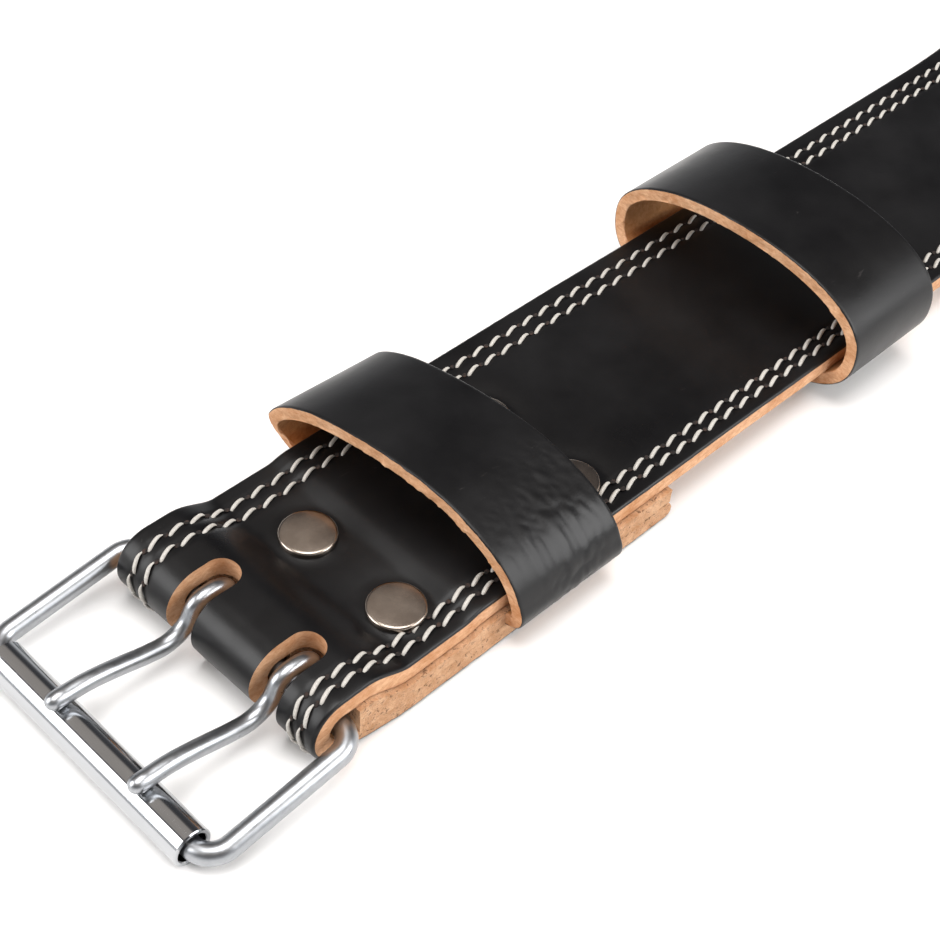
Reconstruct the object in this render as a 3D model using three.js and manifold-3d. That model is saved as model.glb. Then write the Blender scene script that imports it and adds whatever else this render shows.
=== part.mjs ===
// Leather weightlifting belt with a two-prong roller buckle, lying flat and unfastened.
// Millimetres, +Z up. X runs along the belt from the buckle to the tongue, and Y runs across it.
// The origin is under the middle of the wide back panel, on the surface that the belt lies on.
import * as THREE from "three";
import { mergeVertices } from "three/addons/utils/BufferGeometryUtils.js";
import Module from "manifold-3d";

const wasm = await Module();
wasm.setup();

// Clearances
const gap = 0.3;
const runningGap = 0.3;
const cutMargin = 1;

// Strap
const strapWidth = 60;
const strapThickness = 4.8;
const edgeBevel = 0.6;
const backWidth = 100;
const buckleEndLength = 240;
const taperLength = 150;
const backLength = 200;
const tongueLength = 260;
const tipLength = 30;
const turnedBackLength = 70.5;
const turnedBackShift = 1.15;

// Fold round the buckle bar
const barSetback = 25;
const tunnelRadius = 3;
const foldLift = 0.6;
const slotWidth = 8;
const slotReach = 7.5;

// Holes in the tongue
const holePairs = 7;
const holePitch = 25.4;
const holeRadius = 3.2;
const firstHoleFromTip = 64;

// Keepers
const keeperWall = 3.2;
const keeperWidth = 30.3;
const keeperSideGap = 2.4;
const fixedKeeperAt = 17.9;
const fixedArchNear = 20.5;
const fixedArchFar = 17.9;
const fixedArchLean = 5;
const fixedKeeperFlat = 5.5;
const tabFromSlots = 1.2;
const tabSetback = 0.8;
const slidingKeeperAt = 126;
const slidingKeeperSideGap = 3.8;
const slidingKeeperHeight = 33.8;
const slidingFootPower = 2.75;
const slidingArchPower = 2.15;

// Rivets
const rivetRowSpacing = 50.7;
const rivetSpacing = 26.4;
const rivetOffset = -4.7;
const capRadius = 6.35;
const capHeight = 1.2;
const capRim = 0.5;
const shankRadius = 2;
const washerRadius = 5;
const washerThickness = 1;
const washerRecess = 1.4;
const clampDip = 0.9;
const clampFlat = 1;

// Buckle
const wireRadius = 2.3;
const frameReach = 35.8;
const frameSideGap = 1.7;
const frameCorner = 5;
const rollerRadius = 4.26;
const rollerWall = 1.05;
const rollerEndGap = 0.4;
const rollerLift = 0.05;
const prongRadius = 1.9;
const prongSpacing = 25.4;
const prongOffset = -2.9;
const prongTipReach = 2.9;
const prongWrapEnd = -120;
const prongLeaves = 150;
const prongTipShares = [-0.4, 0, 0.4, 0.75, 1];

// Heights above the surface, worked out from the stack of layers
const halfStrap = strapThickness / 2;
const halfWall = keeperWall / 2;
const tabHeight = strapThickness + gap + halfWall;
const stackTop = strapThickness + gap + keeperWall + gap + strapThickness;
const barHeight = foldLift + strapThickness + tunnelRadius;
const crownTop = barHeight + tunnelRadius + strapThickness;
const clampedTop = stackTop - clampDip;
const frameEndHeight = rollerRadius + rollerLift;

// Places along the belt, from the first pair of rivets
const barAt = -barSetback;
const rollerAt = barAt - frameReach;
const secondRivetsAt = rivetRowSpacing;
const tabStart = barAt + slotReach + tabFromSlots;
const tabEnd = turnedBackLength - tabSetback;
const taperStart = buckleEndLength;
const backStart = taperStart + taperLength;
const backEnd = backStart + backLength;
const tongueStart = backEnd + taperLength;
const tipAt = tongueStart + tongueLength;
const backCentre = (backStart + backEnd) / 2;
const frameSideAt = strapWidth / 2 + frameSideGap + wireRadius;
const clampEnd = capRadius + clampFlat;

// How finely round and bent shapes are divided
const roundSides = 20;
const holeSides = 16;
const rollerSides = 36;
const wireSides = 10;
const wireSteps = 36;
const prongSteps = 44;
const bendSteps = 6;
const eyeSteps = 15;
const foldSteps = 16;
const tipSteps = 10;
const loopSteps = 48;
const bandSteps = 3;
const ovalPoints = 32;
const slotSteps = 10;
const stackStep = 3.5;
const turnedBackStep = 4;
const slopeStep = 9;
const taperStep = 12;
const flatStep = 40;

const finishes = {
  leather: { color: 0x1c1b1c, roughness: 0.42, metalness: 0 },
  keeperLeather: { color: 0x222124, roughness: 0.38, metalness: 0 },
  nickel: { color: 0xb9aea4, roughness: 0.22, metalness: 1 },
  plated: { color: 0xb4b6b8, roughness: 0.3, metalness: 1 },
  chrome: { color: 0xdadcdd, roughness: 0.12, metalness: 1 },
};

// Turns a closed geometry into a solid that can be joined or cut.
function solid(geometry) {
  const bare = geometry.clone();
  bare.deleteAttribute("normal");
  bare.deleteAttribute("uv");
  const merged = mergeVertices(bare, 1e-5);
  const vertProperties = Float32Array.from(merged.attributes.position.array);
  const triVerts = Uint32Array.from(merged.index.array);
  return new wasm.Manifold(new wasm.Mesh({ numProp: 3, vertProperties, triVerts }));
}

// Turns a solid back into a geometry.
function geometryOf(manifold) {
  const mesh = manifold.getMesh();
  const geometry = new THREE.BufferGeometry();
  geometry.setAttribute("position", new THREE.BufferAttribute(Float32Array.from(mesh.vertProperties), 3));
  geometry.setIndex(new THREE.BufferAttribute(Uint32Array.from(mesh.triVerts), 1));
  geometry.computeVertexNormals();
  return geometry;
}

// A height that runs smoothly through rows of { at, height }, flat between two equal rows.
function heightAt(rows, at) {
  const last = rows.length - 1;
  if (at <= rows[0].at) return rows[0].height;
  if (at >= rows[last].at) return rows[last].height;
  const i = rows.findIndex((row, k) => k < last && at < rows[k + 1].at);
  const slope = (k) => {
    if (k <= 0 || k >= last) return 0;
    const before = (rows[k].height - rows[k - 1].height) / (rows[k].at - rows[k - 1].at);
    const after = (rows[k + 1].height - rows[k].height) / (rows[k + 1].at - rows[k].at);
    return before * after <= 0 ? 0 : (2 * before * after) / (before + after);
  };
  const span = rows[i + 1].at - rows[i].at;
  const u = (at - rows[i].at) / span;
  const v = 1 - u;
  return (
    rows[i].height * (1 + 2 * u) * v * v +
    slope(i) * span * u * v * v +
    rows[i + 1].height * (1 + 2 * v) * u * u -
    slope(i + 1) * span * v * u * u
  );
}

// Joins rings of points, all with the same count, into one closed skin with flat ends.
function skin(rings, closedLoop = false) {
  const count = rings[0].length;
  const positions = rings.flat(2);
  const index = [];
  const joins = closedLoop ? rings.length : rings.length - 1;
  for (let r = 0; r < joins; r += 1) {
    const near = r * count;
    const far = ((r + 1) % rings.length) * count;
    for (let p = 0; p < count; p += 1) {
      const q = (p + 1) % count;
      index.push(near + p, far + q, far + p, near + p, near + q, far + q);
    }
  }
  if (!closedLoop) {
    const end = (rings.length - 1) * count;
    for (let p = 1; p < count - 1; p += 1) {
      index.push(0, p + 1, p);
      index.push(end, end + p, end + p + 1);
    }
  }
  const geometry = new THREE.BufferGeometry();
  geometry.setAttribute("position", new THREE.BufferAttribute(new Float32Array(positions), 3));
  geometry.setIndex(index);
  geometry.computeVertexNormals();
  return geometry;
}

function roundBar(radius, low, high, x, y, sides = roundSides) {
  const bar = new THREE.CylinderGeometry(radius, radius, high - low, sides);
  bar.rotateX(Math.PI / 2);
  bar.translate(x, y, (low + high) / 2);
  return bar;
}

// Half the strap's width at a place along it.
function halfWidthAt(at) {
  const rise = (backWidth - strapWidth) / 2;
  const up = THREE.MathUtils.smoothstep(at, taperStart, backStart);
  const down = THREE.MathUtils.smoothstep(at, backEnd, tongueStart);
  const straight = strapWidth / 2 + rise * (up - down);
  const intoTip = Math.max(0, (at - (tipAt - tipLength)) / tipLength);
  return straight * Math.sqrt(Math.max(0, 1 - intoTip * intoTip));
}

// Middle height of the upper layer, from the fold's crown to the tongue.
const upperRows = [
  { at: barAt, height: crownTop },
  { at: barAt + 2 * tunnelRadius, height: crownTop },
  { at: -clampEnd, height: clampedTop },
  { at: clampEnd, height: clampedTop },
  { at: fixedKeeperAt - fixedKeeperFlat, height: stackTop },
  { at: tabEnd + 4 * strapThickness, height: stackTop },
  { at: slidingKeeperAt, height: stackTop - 0.1 * strapThickness },
  { at: taperStart, height: stackTop - 0.1 * strapThickness },
  { at: backStart, height: strapThickness },
].map((row) => ({ at: row.at, height: row.height - halfStrap }));

// Middle height of the turned-back layer, from the fold to its end.
const lowerRows = [
  { at: barAt, height: foldLift },
  { at: tabStart, height: 0 },
].map((row) => ({ at: row.at, height: row.height + halfStrap }));

function stretch(from, to, step) {
  const count = Math.max(1, Math.ceil((to - from) / step));
  return Array.from({ length: count }, (_, i) => from + ((to - from) * i) / count);
}

// The strap's middle line, from its turned-back end, round the fold and on to the tip.
function strapStations() {
  const stations = [];
  const add = (at, height, half, shift, upper) => stations.push({ at, height, half, shift, upper });
  const half = strapWidth / 2;
  for (const at of [...stretch(barAt, turnedBackLength, turnedBackStep), turnedBackLength].reverse()) {
    const share = THREE.MathUtils.smoothstep(at, barAt, -capRadius);
    add(at, heightAt(lowerRows, at), half, -turnedBackShift * share, false);
  }
  const middleRadius = tunnelRadius + halfStrap;
  for (let i = 1; i < foldSteps; i += 1) {
    const turn = (Math.PI * i) / foldSteps;
    const at = barAt - middleRadius * Math.sin(turn);
    add(at, barHeight - middleRadius * Math.cos(turn), half, 0, false);
  }
  const roundStart = tipAt - tipLength;
  const places = [
    ...stretch(barAt, tabStart, stackStep),
    ...stretch(tabStart, tabEnd, stackStep),
    ...stretch(tabEnd, backStart, slopeStep),
    ...stretch(backStart, backEnd, flatStep),
    ...stretch(backEnd, tongueStart, taperStep),
    ...stretch(tongueStart, roundStart, flatStep),
  ];
  for (const at of places) add(at, heightAt(upperRows, at), halfWidthAt(at), 0, true);
  for (let i = 0; i < tipSteps; i += 1) {
    const at = roundStart + tipLength * Math.sin((Math.PI / 2) * (i / tipSteps));
    add(at, heightAt(upperRows, at), halfWidthAt(at), 0, true);
  }
  return stations.map((here, i) => {
    const before = stations[Math.max(0, i - 1)];
    const after = stations[Math.min(stations.length - 1, i + 1)];
    const along = new THREE.Vector2(after.at - before.at, after.height - before.height).normalize();
    return { ...here, along };
  });
}

// A point at a distance out of the strap's middle line.
function besideStrap(here, across, out) {
  return [here.at - here.along.y * out, here.shift + across, here.height + here.along.x * out];
}

function strapSkin() {
  const flat = halfStrap - edgeBevel;
  const rings = strapStations().map((here) => {
    const corner = (across, out) => besideStrap(here, across, out);
    const wide = here.half;
    const inset = Math.max(here.half - edgeBevel, here.half / 2);
    return [
      corner(wide, flat),
      corner(inset, halfStrap),
      corner(-inset, halfStrap),
      corner(-wide, flat),
      corner(-wide, -flat),
      corner(-inset, -halfStrap),
      corner(inset, -halfStrap),
      corner(wide, -flat),
    ];
  });
  return skin(rings);
}

// Where each rivet stands, with the height of the leather's face above it.
const rivetPlaces = [
  { name: "rivet_fold_left", at: 0, side: 1, top: clampedTop },
  { name: "rivet_fold_right", at: 0, side: -1, top: clampedTop },
  { name: "rivet_keeper_left", at: secondRivetsAt, side: 1, top: stackTop },
  { name: "rivet_keeper_right", at: secondRivetsAt, side: -1, top: stackTop },
].map((place) => ({
  ...place,
  across: rivetOffset + (place.side * rivetSpacing) / 2,
}));

const prongPlaces = [
  { name: "prong_left", across: prongOffset + prongSpacing / 2 },
  { name: "prong_right", across: prongOffset - prongSpacing / 2 },
];

function slotCutter(across) {
  const half = slotWidth / 2;
  const end = barAt + slotReach - half;
  const start = barAt - 3 * tunnelRadius - strapThickness;
  const outline = new THREE.Shape();
  outline.moveTo(start, across - half);
  outline.lineTo(end, across - half);
  outline.absarc(end, across, half, -Math.PI / 2, Math.PI / 2, false);
  outline.lineTo(start, across + half);
  outline.closePath();
  const cutter = new THREE.ExtrudeGeometry(outline, {
    depth: 2 * crownTop,
    bevelEnabled: false,
    curveSegments: slotSteps,
  });
  cutter.translate(0, 0, -crownTop / 2);
  return solid(cutter);
}

function makeStrap() {
  let strap = solid(strapSkin());
  for (const prong of prongPlaces) strap = strap.subtract(slotCutter(prong.across));
  const above = 2 * crownTop;
  for (const { at, across } of rivetPlaces) {
    strap = strap.subtract(solid(roundBar(shankRadius + gap, -cutMargin, above, at, across)));
    const recess = roundBar(washerRadius + gap, -cutMargin, washerRecess, at, across);
    strap = strap.subtract(solid(recess));
  }
  for (let pair = 0; pair < holePairs; pair += 1) {
    const at = tipAt - firstHoleFromTip - pair * holePitch;
    for (const side of [1, -1]) {
      const hole = roundBar(holeRadius, -cutMargin, above, at, (side * prongSpacing) / 2, holeSides);
      strap = strap.subtract(solid(hole));
    }
  }
  return geometryOf(strap);
}

// Middle line of the fixed keeper's wall, as shares of its half width and of its arch's height.
// The photographed arch is full on its left shoulder and slopes away on its right one.
const fixedSection = [
  { across: -0.9, up: 0 },
  { across: -0.985, up: 0.05 },
  { across: -1.005, up: 0.14 },
  { across: -0.985, up: 0.25 },
  { across: -0.93, up: 0.43 },
  { across: -0.81, up: 0.63 },
  { across: -0.62, up: 0.8 },
  { across: -0.35, up: 0.94 },
  { across: 0, up: 1 },
  { across: 0.41, up: 0.985 },
  { across: 0.73, up: 0.91 },
  { across: 0.945, up: 0.745 },
  { across: 1.035, up: 0.52 },
  { across: 1.045, up: 0.28 },
  { across: 1.0, up: 0.09 },
  { across: 0.92, up: 0 },
  { across: 0.5, up: 0 },
  { across: -0.5, up: 0 },
];

// Middle line of the sliding keeper's wall: an oval that lies flat on the surface.
function slidingSection() {
  return Array.from({ length: ovalPoints }, (_, i) => {
    const turn = (2 * Math.PI * i) / ovalPoints;
    const power = 2 / (Math.sin(turn) < 0 ? slidingFootPower : slidingArchPower);
    const bow = (value) => Math.sign(value) * Math.abs(value) ** power;
    return { across: -bow(Math.cos(turn)), up: 0.5 + 0.5 * bow(Math.sin(turn)) };
  });
}

// A leather loop: stations across its width, each a ring of points on the wall's outside and inside.
function keeperBand({ section, half, base, near, far, lean, at, width, wall }) {
  const points = section.map(({ across, up }) => new THREE.Vector3(across, up, 0));
  const curve = new THREE.CatmullRomCurve3(points, true, "centripetal");
  const shoulder = 0.6;
  const samples = Array.from({ length: loopSteps }, (_, i) => curve.getPoint(i / loopSteps));
  const shell = (offset, s) => {
    const height = near + (far - near) * s;
    const flat = samples.map((p) => new THREE.Vector2(p.x * half, base + Math.max(0, p.y) * height));
    return flat.map((p, i) => {
      const before = flat[(i + loopSteps - 1) % loopSteps];
      const after = flat[(i + 1) % loopSteps];
      const along = after.clone().sub(before).normalize();
      const y = p.x - along.y * offset;
      const z = p.y + along.x * offset;
      const towards = (p.x / half + 1) / 2;
      const raised = THREE.MathUtils.clamp((p.y - base) / (shoulder * height), 0, 1);
      return [at + width * s - lean * towards * towards * raised, y, z];
    });
  };
  const rings = [];
  for (let k = 0; k <= bandSteps; k += 1) rings.push(shell(-wall / 2, k / bandSteps));
  for (let k = bandSteps; k >= 0; k -= 1) rings.push(shell(wall / 2, k / bandSteps));
  return skin(rings, true);
}

// The keeper's tab: it fills the space between the strap's layers, and both rows of rivets clamp it.
function tabSkin() {
  const low = strapThickness + gap;
  const half = strapWidth / 2;
  const between = strapStations().filter(({ at, upper }) => upper && at >= tabStart && at <= tabEnd);
  const rings = between.map((here) => {
    const [at, , high] = besideStrap(here, 0, -halfStrap - gap);
    return [
      [at, half - turnedBackShift, high],
      [at, -half - turnedBackShift, high],
      [at, -half - turnedBackShift, low],
      [at, half - turnedBackShift, low],
    ];
  });
  return skin(rings);
}

function makeFixedKeeper() {
  const half = strapWidth / 2 + keeperSideGap + halfWall;
  let keeper = solid(
    keeperBand({
      section: fixedSection,
      half,
      base: tabHeight,
      near: fixedArchNear,
      far: fixedArchFar,
      lean: fixedArchLean,
      at: fixedKeeperAt,
      width: keeperWidth,
      wall: keeperWall,
    }),
  );
  keeper = keeper.add(solid(tabSkin()));
  for (const { at, across } of rivetPlaces) {
    keeper = keeper.subtract(solid(roundBar(shankRadius + gap, -cutMargin, stackTop, at, across)));
  }
  return geometryOf(keeper);
}

function makeSlidingKeeper() {
  return keeperBand({
    section: slidingSection(),
    half: strapWidth / 2 + slidingKeeperSideGap + halfWall,
    base: halfWall,
    near: slidingKeeperHeight - keeperWall,
    far: slidingKeeperHeight - keeperWall,
    lean: 0,
    at: slidingKeeperAt,
    width: keeperWidth,
    wall: keeperWall,
  });
}

// Cap, shank and back washer in one turned profile.
function makeRivet({ top }) {
  const seat = top + gap;
  const foot = washerRecess - gap - washerThickness;
  const profile = [
    [0, foot],
    [washerRadius, foot],
    [washerRadius, foot + washerThickness],
    [shankRadius, foot + washerThickness],
    [shankRadius, seat],
    [capRadius - 0.3 * capRim, seat],
    [capRadius, seat + 0.5 * capRim],
    [capRadius - 0.3 * capRim, seat + capRim + 0.2 * capHeight],
    [capRadius - 2 * capRim, seat + 0.85 * capHeight],
    [0.5 * capRadius, seat + capHeight],
    [0, seat + capHeight],
  ].map(([radius, height]) => new THREE.Vector2(radius, height));
  const rivet = new THREE.LatheGeometry(profile, roundSides);
  rivet.rotateX(Math.PI / 2);
  return geometryOf(solid(rivet));
}

// A round wire along a curve.
function wire(curve, radius, steps) {
  const section = new THREE.Shape();
  for (let i = 0; i < wireSides; i += 1) {
    const turn = (2 * Math.PI * i) / wireSides;
    const point = [radius * Math.cos(turn), radius * Math.sin(turn)];
    if (i === 0) section.moveTo(...point);
    else section.lineTo(...point);
  }
  section.closePath();
  return new THREE.ExtrudeGeometry(section, { steps, bevelEnabled: false, extrudePath: curve });
}

// One half of the buckle frame: from the middle of the bar, round one side, to the roller's middle.
function frameHalf(side) {
  const straight = frameSideAt - frameCorner;
  const point = (along, across) => {
    const height = barHeight + ((frameEndHeight - barHeight) * along) / frameReach;
    return new THREE.Vector3(barAt - along, side * across, height);
  };
  const bend = (centreAlong, from) =>
    Array.from({ length: bendSteps + 1 }, (_, i) => {
      const turn = from + (Math.PI / 2) * (i / bendSteps);
      return point(
        centreAlong - frameCorner * Math.cos(turn),
        straight + frameCorner * Math.sin(turn),
      );
    });
  const overlap = runningGap;
  const path = new THREE.CurvePath();
  const points = [
    point(0, -overlap),
    ...bend(frameCorner, 0),
    ...bend(frameReach - frameCorner, Math.PI / 2),
    point(frameReach, -overlap),
  ];
  for (let i = 1; i < points.length; i += 1) path.add(new THREE.LineCurve3(points[i - 1], points[i]));
  return solid(wire(path, wireRadius, wireSteps));
}

function makeFrame() {
  return geometryOf(frameHalf(1).add(frameHalf(-1)));
}

function makeRoller() {
  const half = frameSideAt - frameCorner + rollerEndGap;
  const inner = rollerRadius - rollerWall;
  const profile = [
    [inner, -half],
    [rollerRadius, -half],
    [rollerRadius, half],
    [inner, half],
    [inner, -half],
  ].map(([radius, across]) => new THREE.Vector2(radius, across));
  const roller = geometryOf(solid(new THREE.LatheGeometry(profile, rollerSides)));
  roller.translate(rollerAt, 0, frameEndHeight);
  return roller;
}

// A prong's tail between its eye and the roller: how far out along the frame, as a share of the
// frame's reach, and how far above the bar, as a share of the eye's radius.
const prongTail = [
  { out: 0.155, rise: 0.02 },
  { out: 0.225, rise: -0.36 },
  { out: 0.32, rise: -0.51 },
  { out: 0.445, rise: -0.33 },
  { out: 0.585, rise: -0.02 },
  { out: 0.725, rise: 0.27 },
  { out: 0.85, rise: 0.45 },
];

// A prong: an eye round the bar, a dip in front of the fold, and a tip that bends over the roller.
function makeProng() {
  const eye = wireRadius + runningGap + prongRadius;
  const overRoller = rollerRadius + gap + prongRadius;
  const points = [];
  for (let i = 0; i <= eyeSteps; i += 1) {
    const turn = THREE.MathUtils.degToRad(prongWrapEnd + ((prongLeaves - prongWrapEnd) * i) / eyeSteps);
    points.push([barAt + eye * Math.cos(turn), barHeight + eye * Math.sin(turn)]);
  }
  for (const { out, rise } of prongTail) points.push([barAt - out * frameReach, barHeight + rise * eye]);
  for (const ahead of prongTipShares) {
    const past = ahead * prongTipReach;
    points.push([rollerAt - past, frameEndHeight + Math.sqrt(overRoller ** 2 - past ** 2)]);
  }
  const curve = new THREE.CatmullRomCurve3(
    points.map(([x, z]) => new THREE.Vector3(x, 0, z)),
    false,
    "centripetal",
  );
  return geometryOf(solid(wire(curve, prongRadius, prongSteps)));
}

const belt = new THREE.Group();

function place(name, geometry, finish, across = 0, at = 0) {
  const mesh = new THREE.Mesh(geometry, new THREE.MeshStandardMaterial(finishes[finish]));
  mesh.name = name;
  mesh.position.set(at, across, 0);
  belt.add(mesh);
}

place("strap", makeStrap(), "leather");
place("keeper_fixed", makeFixedKeeper(), "keeperLeather");
place("keeper_sliding", makeSlidingKeeper(), "keeperLeather");
for (const rivet of rivetPlaces) place(rivet.name, makeRivet(rivet), "nickel", rivet.across, rivet.at);
place("buckle_frame", makeFrame(), "plated");
place("buckle_roller", makeRoller(), "chrome");
for (const prong of prongPlaces) place(prong.name, makeProng(), "plated", prong.across);

belt.position.x = -backCentre;

export default belt;
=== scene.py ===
"""Dresses a leather weightlifting belt: black top grain, tan cut edges, thread and plated metal.

The classes hold their sizes in millimetres, and the meshes are in metres in the frame of the
solids: X runs along the belt from the buckle to the tongue, Y across it and Z up. A place along
the belt that is called "at" is its distance in millimetres from the first pair of rivets.
"""

from __future__ import annotations

import logging
import math
from dataclasses import dataclass, field
from enum import Enum
from typing import Any, Callable, Iterable, Sequence

import bmesh
import bpy
from mathutils import Matrix, Vector, noise

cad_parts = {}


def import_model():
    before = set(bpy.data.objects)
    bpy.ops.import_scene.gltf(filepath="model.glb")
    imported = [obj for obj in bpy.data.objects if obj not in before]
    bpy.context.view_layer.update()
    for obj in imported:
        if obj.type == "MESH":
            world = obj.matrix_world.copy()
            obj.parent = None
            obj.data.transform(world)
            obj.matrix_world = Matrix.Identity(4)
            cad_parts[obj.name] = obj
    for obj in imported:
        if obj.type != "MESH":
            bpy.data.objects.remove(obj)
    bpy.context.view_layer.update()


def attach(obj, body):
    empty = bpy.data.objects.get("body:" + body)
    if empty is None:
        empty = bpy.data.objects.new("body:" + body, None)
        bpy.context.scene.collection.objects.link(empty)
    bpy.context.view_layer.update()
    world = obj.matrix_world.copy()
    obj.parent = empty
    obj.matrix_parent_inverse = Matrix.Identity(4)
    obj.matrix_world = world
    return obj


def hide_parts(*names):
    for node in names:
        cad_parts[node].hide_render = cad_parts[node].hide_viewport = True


LOG = logging.getLogger("belt")
MM = 0.001
LEATHER_CREASE_DEGREES = 42
METAL_CREASE_DEGREES = 40
RIGHT_ANGLE = math.pi / 2
HOLE_SEGMENTS = 40

Point = tuple[float, float, float]
Crease = tuple[float, float, float, float]
Socket = bpy.types.NodeSocket


class Zone(Enum):
    """The faces that a cut piece of leather shows, in the order of its material slots."""

    GRAIN = 0
    EDGE = 1
    FLESH = 2
    ROUGH_EDGE = 3


class Side(Enum):
    """The belt's two long edges."""

    LEFT = 1
    RIGHT = -1


@dataclass(frozen=True)
class BeltSizes:
    """The belt's driving sizes in millimetres, the same as those of its solids."""

    gap: float = 0.3
    strap_width: float = 60.0
    strap_thickness: float = 4.8
    back_width: float = 100.0
    buckle_end_length: float = 240.0
    taper_length: float = 150.0
    back_length: float = 200.0
    tongue_length: float = 260.0
    tip_length: float = 30.0
    turned_back_length: float = 70.5
    turned_back_shift: float = 1.15
    bar_setback: float = 25.0
    tunnel_radius: float = 3.0
    fold_lift: float = 0.6
    slot_width: float = 8.0
    slot_reach: float = 7.5
    hole_pairs: int = 7
    hole_pitch: float = 25.4
    hole_radius: float = 3.2
    first_hole_from_tip: float = 64.0
    keeper_wall: float = 3.2
    keeper_width: float = 30.3
    keeper_side_gap: float = 2.4
    fixed_keeper_at: float = 17.9
    fixed_keeper_flat: float = 5.5
    tab_from_slots: float = 1.2
    tab_setback: float = 0.8
    fixed_arch_near: float = 20.5
    fixed_arch_far: float = 17.9
    fixed_arch_lean: float = 5.0
    sliding_keeper_at: float = 126.0
    sliding_keeper_side_gap: float = 3.8
    sliding_foot_power: float = 2.75
    sliding_arch_power: float = 2.15
    sliding_keeper_height: float = 33.8
    rivet_row_spacing: float = 50.7
    rivet_spacing: float = 26.4
    rivet_offset: float = -4.7
    cap_radius: float = 6.35
    cap_height: float = 1.2
    shank_radius: float = 2.0
    washer_radius: float = 5.0
    washer_thickness: float = 1.0
    washer_recess: float = 1.4
    clamp_dip: float = 0.9
    clamp_flat: float = 1.0
    wire_radius: float = 2.3
    frame_reach: float = 35.8
    frame_side_gap: float = 1.7
    frame_corner: float = 5.0
    roller_radius: float = 4.26
    roller_wall: float = 1.05
    roller_end_gap: float = 0.4
    roller_lift: float = 0.05
    prong_radius: float = 1.9
    prong_spacing: float = 25.4
    prong_offset: float = -2.9
    prong_tip_reach: float = 2.9
    running_gap: float = 0.3
    stitch_rows_left: tuple[float, float] = (4.79, 8.57)
    stitch_rows_right: tuple[float, float] = (3.57, 6.43)

    @property
    def half_strap(self) -> float:
        """Half the strap's thickness."""
        return self.strap_thickness / 2

    @property
    def half_wall(self) -> float:
        """Half the keepers' thickness."""
        return self.keeper_wall / 2

    @property
    def tab_height(self) -> float:
        """Height of the middle of the fixed keeper's tab."""
        return self.strap_thickness + self.gap + self.half_wall

    @property
    def stack_top(self) -> float:
        """Height of the strap's face over the keeper's tab and the turned-back layer."""
        return self.strap_thickness + self.gap + self.keeper_wall + self.gap + self.strap_thickness

    @property
    def bar_height(self) -> float:
        """Height of the middle of the buckle's bar."""
        return self.fold_lift + self.strap_thickness + self.tunnel_radius

    @property
    def crown_top(self) -> float:
        """Height of the strap's face over the bar."""
        return self.bar_height + self.tunnel_radius + self.strap_thickness

    @property
    def clamped_top(self) -> float:
        """Height of the strap's face between the first rivets."""
        return self.stack_top - self.clamp_dip

    @property
    def frame_end_height(self) -> float:
        """Height of the roller's axis."""
        return self.roller_radius + self.roller_lift

    @property
    def bar_at(self) -> float:
        """Place of the buckle's bar."""
        return -self.bar_setback

    @property
    def roller_at(self) -> float:
        """Place of the roller's axis."""
        return self.bar_at - self.frame_reach

    @property
    def tab_start(self) -> float:
        """Place where the fixed keeper's tab starts between the layers."""
        return self.bar_at + self.slot_reach + self.tab_from_slots

    @property
    def tab_end(self) -> float:
        """Place where the fixed keeper's tab ends between the layers."""
        return self.turned_back_length - self.tab_setback

    @property
    def back_start(self) -> float:
        """Place where the strap has widened to its back panel."""
        return self.buckle_end_length + self.taper_length

    @property
    def back_end(self) -> float:
        """Place where the back panel starts to narrow."""
        return self.back_start + self.back_length

    @property
    def tongue_start(self) -> float:
        """Place where the tongue has its own width."""
        return self.back_end + self.taper_length

    @property
    def tip_at(self) -> float:
        """Place of the tongue's tip."""
        return self.tongue_start + self.tongue_length

    @property
    def back_centre(self) -> float:
        """Place of the frame's origin, under the middle of the back panel."""
        return (self.back_start + self.back_end) / 2

    @property
    def frame_side_at(self) -> float:
        """Distance of the buckle's side wires from the centre line."""
        return self.strap_width / 2 + self.frame_side_gap + self.wire_radius

    @property
    def rivet_places(self) -> dict[str, tuple[float, float, float]]:
        """Each rivet's solid, with its place, its distance across and the leather's top."""
        places = {}
        for side in Side:
            across = self.rivet_offset + side.value * self.rivet_spacing / 2
            name = side.name.lower()
            places[f"rivet_fold_{name}"] = (0.0, across, self.clamped_top)
            places[f"rivet_keeper_{name}"] = (self.rivet_row_spacing, across, self.stack_top)
        return places

    @property
    def rivet_centres(self) -> list[tuple[float, float]]:
        """Each rivet's axis in the frame, in metres."""
        return [self.metres(at, across, 0)[:2] for at, across, _ in self.rivet_places.values()]

    @property
    def tongue_holes(self) -> list[tuple[float, float]]:
        """Each tongue hole's axis in the frame, in metres."""
        first = self.tip_at - self.first_hole_from_tip
        half = self.prong_spacing / 2
        return [
            self.metres(first - i * self.hole_pitch, side.value * half, 0)[:2]
            for i in range(self.hole_pairs)
            for side in Side
        ]

    @property
    def prong_places(self) -> dict[str, float]:
        """Each prong's solid with its distance across."""
        return {
            f"prong_{side.name.lower()}": self.prong_offset + side.value * self.prong_spacing / 2
            for side in Side
        }

    def metres(self, at: float, across: float, height: float) -> Point:
        """Turn a place on the belt into a point in the frame, in metres.

        Args:
            at: Place along the belt.
            across: Distance from the centre line, to the left.
            height: Height above the surface.

        Returns:
            The point in the frame.
        """
        return ((at - self.back_centre) * MM, across * MM, height * MM)


def linear(hex_colour: str) -> tuple[float, float, float, float]:
    """Turn an sRGB hex colour into the linear one that shaders take.

    Args:
        hex_colour: The colour as "#rrggbb".

    Returns:
        Red, green, blue and an alpha of one.
    """
    channels = [int(hex_colour[i : i + 2], 16) / 255 for i in (1, 3, 5)]
    red, green, blue = (
        c / 12.92 if c <= 0.04045 else ((c + 0.055) / 1.055) ** 2.4 for c in channels
    )
    return (red, green, blue, 1.0)


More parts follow.
